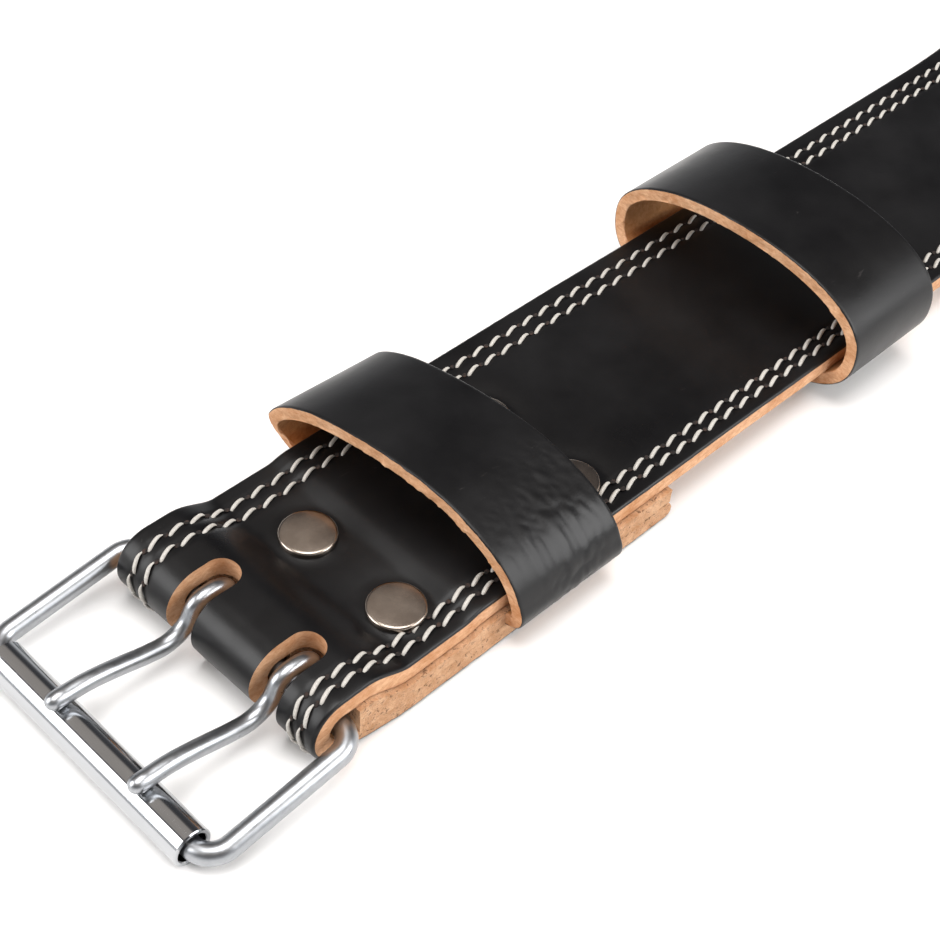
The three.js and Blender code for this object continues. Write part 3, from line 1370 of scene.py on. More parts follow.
def curve_span(points: Sequence[Vector], shares: Iterable[float]) -> list[tuple[float, float]]:
    """Sample a centripetal Catmull-Rom curve between the middle two of four points.

    Args:
        points: The four points.
        shares: How far along the span each sample lies.

    Returns:
        The samples.
    """
    before, here, after, later = points
    knots = [max(1e-4, (b - a).length ** 0.5) for a, b in zip(points, points[1:])]
    start = (here - before) / knots[0] - (after - before) / (knots[0] + knots[1])
    start = (start + (after - here) / knots[1]) * knots[1]
    end = (after - here) / knots[1] - (later - here) / (knots[1] + knots[2])
    end = (end + (later - after) / knots[2]) * knots[1]
    second = -3 * here + 3 * after - 2 * start - end
    third = 2 * here - 2 * after + start + end
    found = [here + start * t + second * t**2 + third * t**3 for t in shares]
    return [(sample.x, sample.y) for sample in found]


def closed_curve(points: Sequence[tuple[float, float]], count: int) -> list[tuple[float, float]]:
    """Sample a curve that closes on itself.

    Args:
        points: The points that it runs through.
        count: How many samples to take.

    Returns:
        The samples.
    """
    total = len(points)
    samples = []
    for i in range(count):
        place = i / count * total
        k = int(place)
        span = [Vector(points[(k + j - 1) % total]) for j in range(4)]
        samples += curve_span(span, [place - k])
    return samples


def open_curve(points: Sequence[tuple[float, float]], steps: int) -> list[tuple[float, float]]:
    """Sample a curve with two ends.

    Args:
        points: The points that it runs through.
        steps: Samples from one point to the next.

    Returns:
        The samples.
    """
    ends = [Vector(p) for p in points]
    ends = [2 * ends[0] - ends[1], *ends, 2 * ends[-1] - ends[-2]]
    shares = [i / steps for i in range(steps)]
    samples = []
    for k in range(len(ends) - 3):
        samples += curve_span(ends[k : k + 4], shares)
    return [*samples, tuple(points[-1])]


@dataclass(frozen=True)
class LoopForm:
    """The run of a keeper's wall across the belt, and where the loop stands."""

    name: str
    node: str
    section: tuple[tuple[float, float], ...]
    half: float
    base: float
    near: float
    far: float
    lean: float
    at: float


FIXED_SECTION = (
    (-0.9, 0.0),
    (-0.985, 0.05),
    (-1.005, 0.14),
    (-0.985, 0.25),
    (-0.93, 0.43),
    (-0.81, 0.63),
    (-0.62, 0.8),
    (-0.35, 0.94),
    (0.0, 1.0),
    (0.41, 0.985),
    (0.73, 0.91),
    (0.945, 0.745),
    (1.035, 0.52),
    (1.045, 0.28),
    (1.0, 0.09),
    (0.92, 0.0),
    (0.5, 0.0),
    (-0.5, 0.0),
)


def oval_section(points: int, foot: float, arch: float) -> tuple[tuple[float, float], ...]:
    """Return the sliding keeper's run: an oval that lies flat on the surface.

    Args:
        points: How many points to take.
        foot: How square its lower half is, 2 for an ellipse.
        arch: How square its upper half is.

    Returns:
        Pairs of shares of the half width and of the height.
    """

    def bow(value: float, power: float) -> float:
        """Bow a share outwards, keeping its sign."""
        return math.copysign(abs(value) ** power, value)

    section = []
    for i in range(points):
        turn = 2 * math.pi * i / points
        power = 2 / (foot if math.sin(turn) < 0 else arch)
        section.append((-bow(math.cos(turn), power), 0.5 + 0.5 * bow(math.sin(turn), power)))
    return tuple(section)


@dataclass
class Keeper:
    """A leather loop that holds the belt's tongue down."""

    sizes: BeltSizes
    workshop: Workshop
    form: LoopForm
    loop_steps: int = 300
    face_steps: int = 50
    inside_steps: int = 12
    corner: float = 0.3
    corner_steps: int = 2
    edge_steps: int = 4
    edge_rough: float = 0.22
    inner_tear: float = 3.2
    crease_end: float = 0.02
    fold_depth: float = 2.6
    lean_full: float = 0.6
    creases: tuple[Crease, ...] = ()

    def band(self) -> list[tuple[float, float, Zone]]:
        """Return the band's own section: across its width, and out from its middle.

        Returns:
            Points with the zone of the face after each.
        """
        width = self.sizes.keeper_width
        half = self.sizes.half_wall
        corner = self.corner
        flat = width - 2 * corner
        inside = [
            (corner + flat * i / self.inside_steps, -half, Zone.FLESH)
            for i in range(self.inside_steps)
        ]
        outside = [
            (width - corner - flat * i / self.face_steps, half, Zone.GRAIN)
            for i in range(self.face_steps)
        ]

        def end(place: float, direction: float, rising: bool) -> list[tuple[float, float, Zone]]:
            """Return one cut edge, from one face to the other."""
            run = round_edge(half, corner, self.corner_steps, self.edge_steps)
            black = range(self.corner_steps)
            if rising:
                run.reverse()
                black = range(len(run) - 1 - self.corner_steps, len(run))
            wall = [(place + direction * inset, out, Zone.EDGE) for inset, out in run]
            for i in black:
                wall[i] = (*wall[i][:2], Zone.GRAIN)
            return wall

        return [*inside, *end(width, -1, True), *outside[1:], *end(0.0, 1, False)[:-1]]

    def build(self) -> bpy.types.Object:
        """Make the loop.

        Returns:
            The keeper.
        """
        s = self.sizes
        form = self.form
        band = self.band()
        zones = [zone for _, _, zone in band]
        samples = closed_curve(form.section, self.loop_steps)
        rings: list[list[Point]] = [[] for _ in samples]
        for place, out, _ in band:
            height = form.near + (form.far - form.near) * place / s.keeper_width
            line = [(x * form.half, form.base + max(0.0, y) * height) for x, y in samples]
            for i, (y, z) in enumerate(line):
                before = line[i - 1]
                after = line[(i + 1) % len(line)]
                run = Vector((after[0] - before[0], after[1] - before[1])).normalized()
                towards = (y / form.half + 1) / 2
                raised = min(1.0, max(0.0, (z - form.base) / (self.lean_full * height)))
                at = form.at + place - form.lean * towards * towards * raised
                far = out
                if place in (0.0, s.keeper_width):
                    share = self.inner_tear if out < 0 else 1.0
                    at += torn(y, z + out, share * self.edge_rough)
                elif out > 0:
                    far += self.relief(place, y, z)
                rings[i].append(s.metres(at, y - run.y * far, z + run.x * far))
        mesh = grid_mesh(form.name, rings, lambda ring, point: zones[point], closed_path=True)
        keeper = new_object(form.name, mesh)
        for material in self.workshop.leather():
            mesh.materials.append(material)
        return keeper

    def relief(self, place: float, across: float, height: float) -> float:
        """Return how far the grain lies in or out where the leather has creased.

        Args:
            place: Distance from the band's near edge.
            across: Distance from the centre line.
            height: Height above the surface.

        Returns:
            Millimetres out, negative in a crease.
        """
        depth = 0.0
        for where, side, reach, deep in self.creases:
            near = math.exp(-(((place - where) / reach) ** 2) - ((across - side) / reach) ** 2)
            if near > self.crease_end:
                down = across - height
                fold = noise.noise(Vector((place / 2.1 + down / 5, down / 1.3, 0.5)))
                fine = noise.noise(Vector((place / 1.2, down / 1.1, 4.5)))
                depth -= deep * near * (1 - self.fold_depth * abs(fold) + 0.8 * fine)
        return depth

    def finish(self, keeper: bpy.types.Object) -> None:
        """Shade the loop, set it on its body and hide the solid that it stands for.

        Args:
            keeper: The loop.
        """
        face_outwards(keeper.data)
        smooth_by_angle(keeper.data, LEATHER_CREASE_DEGREES)
        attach(keeper, "belt")
        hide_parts(self.form.node)


@dataclass
class FixedKeeper(Keeper):
    """The keeper whose lower wall runs on as a tab, clamped between the strap's two layers."""

    creases: tuple[Crease, ...] = (
        (17.0, -31.0, 10.0, 0.1),
        (7.0, -24.0, 6.0, 0.08),
        (24.0, -18.0, 8.0, 0.07),
    )
    tab_seam: float = 0.04
    tab_notch: float = 0.6
    tab_steps: int = 5
    tab_rough: float = 0.2

    def build(self) -> bpy.types.Object:
        """Make the loop with its tab.

        Returns:
            The keeper.
        """
        s = self.sizes
        keeper = super().build()
        tab = new_object("tab", self.tab())
        face_outwards(tab.data)
        face_outwards(keeper.data)
        combine(keeper, [tab], "UNION")
        shank = (s.shank_radius + s.gap) * MM
        high = 2 * s.crown_top * MM
        notch = s.slot_width / 2 + self.tab_notch
        holes = round_cutter("tab_holes", s.rivet_centres, shank, -MM, high, Zone.EDGE)
        notches = [
            slot_cutter(s, across, notch, s.tab_start, Zone.ROUGH_EDGE)
            for across in s.prong_places.values()
        ]
        combine(keeper, [holes, *notches], "DIFFERENCE")
        self.finish(keeper)
        return keeper

    def tab(self) -> bpy.types.Mesh:
        """Make the tab, which fills the space between the strap's layers.

        Returns:
            The tab's mesh.
        """
        s = self.sizes
        face = StrapLine(s).face()
        start = s.bar_at + s.wire_radius + s.gap
        low = s.strap_thickness + self.tab_seam
        rings = []
        for station, (run, rise) in zip(face, headings(face)):
            if not start <= station.at <= s.tab_end:
                continue
            out = -s.half_strap - self.tab_seam
            at = station.at - rise * out
            high = station.height + run * out
            heights = [low + (high - low) * i / self.tab_steps for i in range(self.tab_steps + 1)]
            ring = []
            for side, order in ((-1, reversed(heights)), (1, heights)):
                for height in order:
                    across = side * (s.strap_width / 2 + torn(at, height, self.tab_rough))
                    ring.append(s.metres(at, across - s.turned_back_shift, height))
            rings.append(ring)
        return grid_mesh("tab", rings, lambda *_: Zone.ROUGH_EDGE)


@dataclass
class SlidingKeeper(Keeper):
    """The keeper that slides along the strap."""

    def build(self) -> bpy.types.Object:
        """Make the loop.

        Returns:
            The keeper.
        """
        keeper = super().build()
        self.finish(keeper)
        return keeper


class NodeModel:
    """A Geometry Nodes tree with named inputs, run once on an object to give a plain mesh."""

    def __init__(self, name: str, inputs: dict[str, tuple[str, Any]]) -> None:
        """Start a tree with a geometry input and output and the named inputs.

        Args:
            name: The tree's name.
            inputs: Each input's socket type and value, by its name.
        """
        self.tree = bpy.data.node_groups.new(name, "GeometryNodeTree")
        face = self.tree.interface
        face.new_socket("Geometry", in_out="INPUT", socket_type="NodeSocketGeometry")
        face.new_socket("Geometry", in_out="OUTPUT", socket_type="NodeSocketGeometry")
        self.values = {}
        for label, (kind, value) in inputs.items():
            socket = face.new_socket(label, in_out="INPUT", socket_type=kind)
            self.values[socket.identifier] = value
        self.source = add_node(self.tree, "NodeGroupInput")
        self.sink = add_node(self.tree, "NodeGroupOutput")

    def node(
        self,
        kind: str,
        settings: dict[str | int, Any] | None = None,
        links: dict[str | int, Any] | None = None,
        **properties: Any,
    ) -> bpy.types.Node:
        """Add one node to this tree, as add_node does."""
        return add_node(self.tree, kind, settings, links, **properties)

    def end(self, geometry: bpy.types.NodeSocket) -> None:
        """Realize the instances, set the material and close the tree.

        Args:
            geometry: What the tree has made.
        """
        real = self.node("GeometryNodeRealizeInstances", links={"Geometry": geometry})
        dressed = self.node(
            "GeometryNodeSetMaterial",
            links={
                "Geometry": real.outputs["Geometry"],
                "Material": self.source.outputs["Material"],
            },
        )
        self.tree.links.new(dressed.outputs["Geometry"], self.sink.inputs["Geometry"])

    def run(self, made: bpy.types.Object) -> None:
        """Run the tree on an object and keep the result as its plain mesh.

        Args:
            made: The object that holds the path or the places.
        """
        modifier = made.modifiers.new("nodes", "NODES")
        modifier.node_group = self.tree
        for identifier, value in self.values.items():
            modifier[identifier] = value
        take_evaluated(made)


def path_object(
    name: str,
    lines: Sequence[Sequence[Point]],
    ups: Sequence[Sequence[Point]] | None = None,
    radii: Sequence[Sequence[float]] | None = None,
    closed: bool = False,
) -> bpy.types.Object:
    """Make an object of bare lines for a tree to follow.

    Args:
        name: The object's name.
        lines: The lines' points, in metres.
        ups: At each point, the way out of the surface.
        radii: At each point, a share of the radius.
        closed: Whether each line joins its own start.

    Returns:
        The object.
    """
    points = [p for line in lines for p in line]
    edges = []
    first = 0
    for line in lines:
        edges += [(first + i, first + i + 1) for i in range(len(line) - 1)]
        if closed:
            edges.append((first + len(line) - 1, first))
        first += len(line)
    mesh = bpy.data.meshes.new(name)
    mesh.from_pydata(points, edges, [])
    if ups is not None:
        up = mesh.attributes.new("up", "FLOAT_VECTOR", "POINT")
        up.data.foreach_set("vector", [c for line in ups for u in line for c in u])
    taper = mesh.attributes.new("taper", "FLOAT", "POINT")
    shares = [r for line in radii for r in line] if radii is not None else [1.0] * len(points)
    taper.data.foreach_set("value", shares)
    return new_object(name, mesh)


def wire_model(
    name: str, radius: float, sides: int, material: bpy.types.Material
) -> NodeModel:
    """Make the tree that draws a round wire along a path.

    Args:
        name: The tree's name.
        radius: The wire's radius in metres.
        sides: How many sides its section has.
        material: The wire's finish.

    Returns:
        The tree.
    """
    model = NodeModel(
        name,
        {
            "Wire Radius": ("NodeSocketFloat", radius),
            "Sides": ("NodeSocketInt", sides),
            "Material": ("NodeSocketMaterial", material),
        },
    )
    source = model.source.outputs
    curve = model.node("GeometryNodeMeshToCurve", links={"Mesh": source["Geometry"]})
    taper = model.node(
        "GeometryNodeInputNamedAttribute", {"Name": "taper"}, data_type="FLOAT"
    )
    tapered = model.node(
        "GeometryNodeSetCurveRadius",
        links={"Curve": curve.outputs["Curve"], "Radius": taper.outputs["Attribute"]},
    )
    section = model.node(
        "GeometryNodeCurvePrimitiveCircle",
        links={"Resolution": source["Sides"], "Radius": source["Wire Radius"]},
    )
    wire = model.node(
        "GeometryNodeCurveToMesh",
        {"Fill Caps": True},
        {
            "Curve": tapered.outputs["Curve"],
            "Profile Curve": section.outputs["Curve"],
            "Scale": taper.outputs["Attribute"],
        },
    )
    model.end(wire.outputs["Mesh"])
    return model


def row_model(
    name: str,
    start: float,
    pitch: float,
    slant: float,
    copy: bpy.types.Object,
    material: bpy.types.Material,
) -> NodeModel:
    """Make the tree that sets copies of a small piece along the rows of a seam.

    Args:
        name: The tree's name.
        start: How far from each end of a row its copies start, in metres.
        pitch: Distance between copies in metres.
        slant: How far each copy is turned from its row, in degrees.
        copy: The piece that repeats.
        material: Its finish.

    Returns:
        The tree.
    """
    model = NodeModel(
        name,
        {
            "Start": ("NodeSocketFloat", start),
            "Pitch": ("NodeSocketFloat", pitch),
            "Slant": ("NodeSocketFloat", math.radians(slant)),
            "Copy": ("NodeSocketObject", copy),
            "Material": ("NodeSocketMaterial", material),
        },
    )
    source = model.source.outputs
    rows = model.node("GeometryNodeMeshToCurve", links={"Mesh": source["Geometry"]})
    full = model.node("GeometryNodeSplineLength")
    last = model.node(
        "ShaderNodeMath",
        links={0: full.outputs["Length"], 1: source["Start"]},
        operation="SUBTRACT",
    )
    trimmed = model.node(
        "GeometryNodeTrimCurve",
        links={"Curve": rows.outputs["Curve"], 4: source["Start"], 5: last.outputs[0]},
        mode="LENGTH",
    )
    spaced = model.node(
        "GeometryNodeResampleCurve",
        links={"Curve": trimmed.outputs["Curve"], "Length": source["Pitch"]},
        mode="LENGTH",
    )
    up = model.node(
        "GeometryNodeInputNamedAttribute", {"Name": "up"}, data_type="FLOAT_VECTOR"
    )
    run = model.node("GeometryNodeInputTangent")
    ahead = model.node(
        "FunctionNodeAlignRotationToVector",
        links={"Vector": run.outputs["Tangent"]},
        axis="X",
    )
    upright = model.node(
        "FunctionNodeAlignRotationToVector",
        links={"Rotation": ahead.outputs["Rotation"], "Vector": up.outputs["Attribute"]},
        axis="Z",
        pivot_axis="X",
    )
    lean = model.node(
        "FunctionNodeAxisAngleToRotation",
        {"Axis": (0.0, 0.0, 1.0)},
        {"Angle": source["Slant"]},
    )
    turned = model.node(
        "FunctionNodeRotateRotation",
        links={"Rotation": upright.outputs["Rotation"], "Rotate By": lean.outputs["Rotation"]},
        rotation_space="LOCAL",
    )
    shape = model.node(
        "GeometryNodeObjectInfo", links={"Object": source["Copy"]}, transform_space="ORIGINAL"
    )
    copies = model.node(
        "GeometryNodeInstanceOnPoints",
        links={
            "Points": spaced.outputs["Curve"],
            "Instance": shape.outputs["Geometry"],
            "Rotation": turned.outputs["Rotation"],
        },
    )
    model.end(copies.outputs["Instances"])
    return model


@dataclass
class Stitching:
    """Two rows of heavy lockstitch along each edge, with a needle hole between stitches, painted
    dark for its shade.
    """

    sizes: BeltSizes
    workshop: Workshop
    pitch: float = 5.44
    length: float = 4.7
    thread_radius: float = 0.42
    sink: float = 0.35
    slant: float = 8.0
    hole_length: float = 1.5
    hole_width: float = 1.1
    start_inset: float = 4.0
    back_sink: float = 0.55
    tip_steps: int = 40

    def rows(self, grain: bool) -> tuple[list[list[Point]], list[list[Point]]]:
        """Return the seams' lines on one face of the strap.

        Args:
            grain: Whether the face is the grain and not the flesh side.

        Returns:
            The lines' points, and the way out of the leather at each.
        """
        s = self.sizes
        line = StrapLine(s)
        tip_start = s.tip_at - s.tip_length
        stations = line.stations() if grain else line.face()
        out = s.half_strap if grain else self.back_sink - s.half_strap
        first = s.turned_back_length - self.start_inset if grain else math.inf
        hidden = s.turned_back_length if not grain else -math.inf
        lines = []
        ups = []
        rows = ((Side.LEFT, s.stitch_rows_left), (Side.RIGHT, s.stitch_rows_right))
        for side, insets in rows:
            for k, inset in enumerate(insets):
                points = []
                normals = []
                for station, (run, rise) in zip(stations, headings(stations)):
                    past_end = station.turned and station.at > first
                    if past_end or station.at > tip_start or station.at < hidden:
                        continue
                    across = station.shift + side.value * (station.half - inset)
                    sunk = out
                    if station.turned:
                        sunk -= self.back_sink * smoothstep(station.at, s.bar_at, s.tab_start)
                    points.append(
                        s.metres(station.at - rise * sunk, across, station.height + run * sunk)
                    )
                    sign = 1 if grain else -1
                    normals.append((-rise * sign, 0.0, run * sign))
                if side is Side.LEFT:
                    self.round_tip(points, normals, inset, s.stitch_rows_right[k], out)
                lines.append(points)
                ups.append(normals)
        return lines, ups

    def round_tip(
        self, points: list[Point], normals: list[Point], inset: float, other: float, out: float
    ) -> None:
        """Carry a left row round the tongue's tip to meet the right one.

        Args:
            points: The row so far, which is added to.
            normals: The ways out, which are added to.
            inset: The row's own inset.
            other: The inset of the row that it meets.
            out: Distance from the strap's middle line to the face.
        """
        s = self.sizes
        centre = s.tip_at - s.tip_length
        height = s.half_strap + out
        for i in range(self.tip_steps + 1):
            share = i / self.tip_steps
            turn = RIGHT_ANGLE - math.pi * share
            reach = s.tip_length - (inset + (other - inset) * share)
            points.append(
                s.metres(centre + reach * math.cos(turn), reach * math.sin(turn), height)
            )
            normals.append((0.0, 0.0, math.copysign(1.0, out)))

    def stitch(self) -> bpy.types.Object:
        """Make one stitch, a thread that comes up, lies proud and goes down again.

        Returns:
            The stitch, along X.
        """
        steps = 8
        sides = 6
        proud = self.thread_radius * 0.6
        bow_power = 3.2
        kick = 0.42
        kick_power = 2.2
        twist = 0.12
        thin_start = 0.3
        thin_end = 0.62
        wide = 1.08
        low = 0.9
        rings = []
        for i in range(steps + 1):
            t = -1 + 2 * i / steps
            x = t * self.length / 2
            lift = (proud + self.sink) * (1 - abs(t) ** bow_power) - self.sink
            side = -kick * max(0.0, -t) ** kick_power + twist * math.sin(math.pi * t)
            end = thin_start if t < 0 else thin_end
            radius = self.thread_radius * (1.05 - 0.12 * t) * (1 - end * abs(t) ** 3)
            ring = []
            for j in range(sides):
                turn = 2 * math.pi * j / sides
                y = side + radius * wide * math.cos(turn)
                z = lift + radius * low * math.sin(turn)
                ring.append((x * MM, y * MM, z * MM))
            rings.append(ring)
        mesh = grid_mesh("one_stitch", rings, lambda *_: Zone.GRAIN)
        face_outwards(mesh)
        mesh.shade_smooth()
        return new_object("one_stitch", mesh)

    def hole(self) -> bpy.types.Object:
        """Make one needle hole, a low oval between two stitches that carries the hole's painted
        shade.

        Returns:
            The hole.
        """
        sides = 8
        levels = ((1.0, -0.12), (0.96, 0.03), (0.5, 0.05))
        rings = []
        for radius, lift in levels:
            ring = []
            for j in range(sides):
                turn = 2 * math.pi * j / sides
                x = radius * self.hole_length / 2 * math.cos(turn)
                y = radius * self.hole_width / 2 * math.sin(turn)
                ring.append((x * MM, y * MM, lift * MM))
            rings.append(ring)
        mesh = grid_mesh("one_needle_hole", rings, lambda *_: Zone.GRAIN)
        face_outwards(mesh)
        mesh.shade_smooth()
        return new_object("one_needle_hole", mesh)

    def build(self) -> list[bpy.types.Object]:
        """Make the stitches and the needle holes, painted dark for their shade, of both faces.

        Returns:
            The thread and the holes.
        """
        thread = self.workshop.finish(SpunThread())
        hole_shade = self.workshop.finish(NeedleHoleShade())
        made = []
        for face in ("face", "back"):
            lines, ups = self.rows(grain=face == "face")
            for label, piece, start, material in (
                ("stitches", self.stitch(), 0.0, thread),
                # the needle holes are dark ovals with painted shade, standing for the shade in each
                # hole
                ("needle_holes", self.hole(), self.pitch / 2, hole_shade),
            ):
                seam = path_object(f"{label}_{face}", lines, ups)
                model = row_model(
                    f"{label}_{face}", start * MM, self.pitch * MM, self.slant, piece, material
                )
                model.run(seam)
                bpy.data.meshes.remove(piece.data)
                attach(seam, "belt")
                made.append(seam)
        return made


@dataclass
class Rivets:
    """Four capped rivets, each with its washer on the back."""

    sizes: BeltSizes
    workshop: Workshop
    segments: int = 64
    seat_drop: float = 0.28
    merge_m: float = 1e-6

    def profile(self, top: float) -> list[tuple[float, float]]:
        """Return half of a rivet's section, from its foot to its crown.

        Args:
            top: Height of the leather's face.

        Returns:
            Radius and height pairs.
        """
        s = self.sizes
        seat = top + s.gap
        foot = s.washer_recess - s.gap - s.washer_thickness
        washer = foot + s.washer_thickness
        crown = seat + s.cap_height
        edge = s.cap_radius
        return [
            (0.0, foot + 0.15),
            (s.shank_radius * 0.8, foot + 0.12),
            (s.shank_radius, foot),
            (s.washer_radius - 0.3, foot),
            (s.washer_radius, foot + 0.3),
            (s.washer_radius, washer - 0.2),
            (s.washer_radius - 0.2, washer),
            (s.shank_radius, washer),
            (s.shank_radius, seat),
            (edge - 0.6, seat),
            (edge - 0.35, seat - self.seat_drop),
            (edge - 0.1, seat - self.seat_drop),
            (edge, seat),
            (edge, seat + 0.35),
            (edge - 0.06, seat + 0.6),
            (edge - 0.2, crown - 0.3),
            (edge - 0.42, crown - 0.19),
            (edge - 0.8, crown - 0.14),
            (edge * 0.6, crown - 0.06),
            (edge * 0.3, crown - 0.01),
            (0.0, crown),
        ]

    def build(self) -> bpy.types.Object:
        """Make the rivets from one turned shape for each thickness of leather.

        Returns:
            The rivets.
        """
        s = self.sizes
        work = bmesh.new()
        for at, across, top in s.rivet_places.values():
            centre = Vector(s.metres(at, across, 0))
            profile = [
                work.verts.new(centre + Vector((radius * MM, 0, height * MM)))
                for radius, height in self.profile(top)
            ]
            edges = [work.edges.new(pair) for pair in zip(profile, profile[1:])]
            bmesh.ops.spin(
                work,
                geom=[*profile, *edges],
                cent=centre,
                axis=(0, 0, 1),
                angle=2 * math.pi,
                steps=self.segments,
                use_merge=True,
            )
        bmesh.ops.remove_doubles(work, verts=work.verts, dist=self.merge_m)
        bmesh.ops.recalc_face_normals(work, faces=work.faces)
        mesh = bpy.data.meshes.new("rivets")
        work.to_mesh(mesh)
        work.free()
        mesh.materials.append(self.workshop.finish(NICKEL_CAP))
        smooth_by_angle(mesh, METAL_CREASE_DEGREES)
        rivets = new_object("rivets", mesh)
        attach(rivets, "belt")
        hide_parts(*s.rivet_places)
        return rivets


@dataclass
class Buckle:
    """The roller buckle: its wire frame, its rolled tube and its two prongs."""

    sizes: BeltSizes
    workshop: Workshop
    wire_sides: int = 28
    corner_steps: int = 10
    eye_steps: int = 26
    tail: tuple[tuple[float, float], ...] = (
        (0.155, 0.02),
        (0.225, -0.36),
        (0.32, -0.51),
        (0.445, -0.33),
        (0.585, -0.02),
        (0.725, 0.27),
        (0.85, 0.45),
    )
    tip_shares: tuple[float, ...] = (-0.4, 0.0, 0.4, 0.75, 1.0)
    eye_reach: float = 1.15
    eye_square: float = 2.5
    wrap_end: float = -120.0
    leaves: float = 150.0
    curve_steps: int = 5
    blunt: float = 0.25
    seam_degrees: float = 3.5
    seam_at_degrees: float = 112.0
    tube_steps: int = 96
    tube_lip: float = 0.22

    def frame(self) -> bpy.types.Object:
        """Make the frame's closed loop of wire.

        Returns:
            The frame.
        """
        s = self.sizes
        corner = s.frame_corner
        straight = s.frame_side_at - corner
        slope = (s.frame_end_height - s.bar_height) / s.frame_reach
        points = []
        bends = (
            (corner, straight, math.pi / 2),
            (corner, -straight, math.pi),
            (s.frame_reach - corner, -straight, 3 * math.pi / 2),
            (s.frame_reach - corner, straight, 2 * math.pi),
        )
        for along, across, start in bends:
            for i in range(self.corner_steps + 1):
                turn = start + RIGHT_ANGLE * i / self.corner_steps
                reach = along + corner * math.cos(turn)
                points.append((reach, across + corner * math.sin(turn)))
        places = [s.metres(s.bar_at - x, y, s.bar_height + slope * x) for x, y in points]
        frame = path_object("buckle_wire", [places], closed=True)
        self.draw(frame, s.wire_radius)
        self.close(frame, "frame", "buckle_frame", "plated_wire")
        return frame

    def draw(self, path: bpy.types.Object, radius: float) -> None:
        """Turn a path into plated wire.

        Args:
            path: The wire's middle line.
            radius: The wire's radius.
        """
        finish = self.workshop.finish(ZINC_WIRE)
        wire_model(f"{path.name}_nodes", radius * MM, self.wire_sides, finish).run(path)

    def roller(self) -> bpy.types.Object:
        """Make the roller, a tube rolled from sheet with an open seam.

        Returns:
            The roller.
        """
        s = self.sizes
        half = s.frame_side_at - s.frame_corner + s.roller_end_gap
        outer = s.roller_radius
        inner = outer - s.roller_wall
        gap = math.radians(self.seam_degrees)
        start = math.radians(self.seam_at_degrees) + gap / 2
        steps = self.tube_steps
        soft = self.tube_lip
        turns = [start + (2 * math.pi - gap) * i / steps for i in range(steps + 1)]
        places = (
            (-half, inner + soft, outer - soft),
            (-half + soft, inner, outer),
            (half - soft, inner, outer),
            (half, inner + soft, outer - soft),
        )
        rings = []
        for across, low, high in places:
            ring = [self.round_point(high, turn, across) for turn in turns]
            ring += [self.round_point(low, turn, across) for turn in reversed(turns)]
            rings.append(ring)
        mesh = grid_mesh("roller_tube", rings, lambda *_: Zone.GRAIN)
        face_outwards(mesh)
        roller = new_object("roller_tube", mesh)
        mesh.materials.append(self.workshop.finish(ROLLED_CHROME))
        self.close(roller, "roller", "buckle_roller", "roller_chrome")
        return roller

    def round_point(self, radius: float, turn: float, across: float) -> Point:
        """Return a point on the roller.

        Args:
            radius: Distance from its axis.
            turn: Angle about its axis, from the belt's far end, upwards.
            across: Distance from the centre line.

        Returns:
            The point.
        """
        s = self.sizes
        at = s.roller_at + radius * math.cos(turn)
        return s.metres(at, across, s.frame_end_height + radius * math.sin(turn))

    def prong(self, node: str, across: float) -> bpy.types.Object:
        """Make a prong: an eye round the bar, a dip before the fold, and a tip over the roller.

        Args:
            node: The solid that it stands for.
            across: Its distance from the centre line.

        Returns:
            The prong.
        """
        s = self.sizes
        eye = s.wire_radius + s.running_gap + s.prong_radius
        over = s.roller_radius + s.gap + s.prong_radius
        rough = []
        for i in range(self.eye_steps + 1):
            turn = math.radians(self.wrap_end + (self.leaves - self.wrap_end) * i / self.eye_steps)
            along, up = (
                math.copysign(abs(share) ** (2 / self.eye_square), share)
                for share in (math.cos(turn), math.sin(turn))
            )
            stretch = self.eye_reach if along > 0 else 1.0
            rough.append((s.bar_at + eye * stretch * along, s.bar_height + eye * up))
        for out, rise in self.tail:
            rough.append((s.bar_at - out * s.frame_reach, s.bar_height + rise * eye))
        for ahead in self.tip_shares:
            past = ahead * s.prong_tip_reach
            rough.append((s.roller_at - past, s.frame_end_height + math.sqrt(over**2 - past**2)))
        line = open_curve(rough, self.curve_steps)
        radii = [1.0] * len(line)
        run = 0.0
        for i in range(len(line) - 1, 0, -1):
            share = min(1.0, run / s.prong_radius)
            radii[i] = max(self.blunt, math.sqrt(1 - (1 - share) ** 2))
            run += math.dist(line[i], line[i - 1])
        places = [s.metres(at, across, height) for at, height in line]
        prong = path_object(f"{node}_wire", [places], radii=[radii])
        self.draw(prong, s.prong_radius)
        self.close(prong, node.replace("prong_", "") + "_prong", node, "plated_wire")
        return prong

    def close(self, made: bpy.types.Object, body: str, node: str, slot: str) -> None:
        """Shade a piece of the buckle, set it on its body and hide the solid that it stands for.

        Args:
            made: The piece.
            body: The body that it moves with.
            node: The solid that it stands for.
            slot: Not used.
        """
        face_outwards(made.data)
        smooth_by_angle(made.data, METAL_CREASE_DEGREES)
        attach(made, body)
        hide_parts(node)

    def build(self) -> list[bpy.types.Object]:
        """Make the buckle's pieces.

        Returns:
            The frame, the roller and the prongs.
        """
        prongs = [self.prong(node, across) for node, across in self.sizes.prong_places.items()]
        return [self.frame(), self.roller(), *prongs]


@dataclass(frozen=True)
class SoftBox:
    """A studio light with a square soft face."""

    name: str
    place: Point
    target: Point
    size: float
    power: float
    colour: str = "#ffffff"

    def build(self) -> None:
        """Hang the light."""
        data = bpy.data.lights.new(self.name, "AREA")
        data.shape = "SQUARE"
        data.size = self.size
        data.energy = self.power
        data.color = linear(self.colour)[:3]
        lamp = bpy.data.objects.new(self.name, data)
        lamp.location = self.place
        aim = Vector(self.target) - Vector(self.place)
        lamp.rotation_euler = aim.to_track_quat("-Z", "Y").to_euler()
        bpy.context.scene.collection.objects.link(lamp)


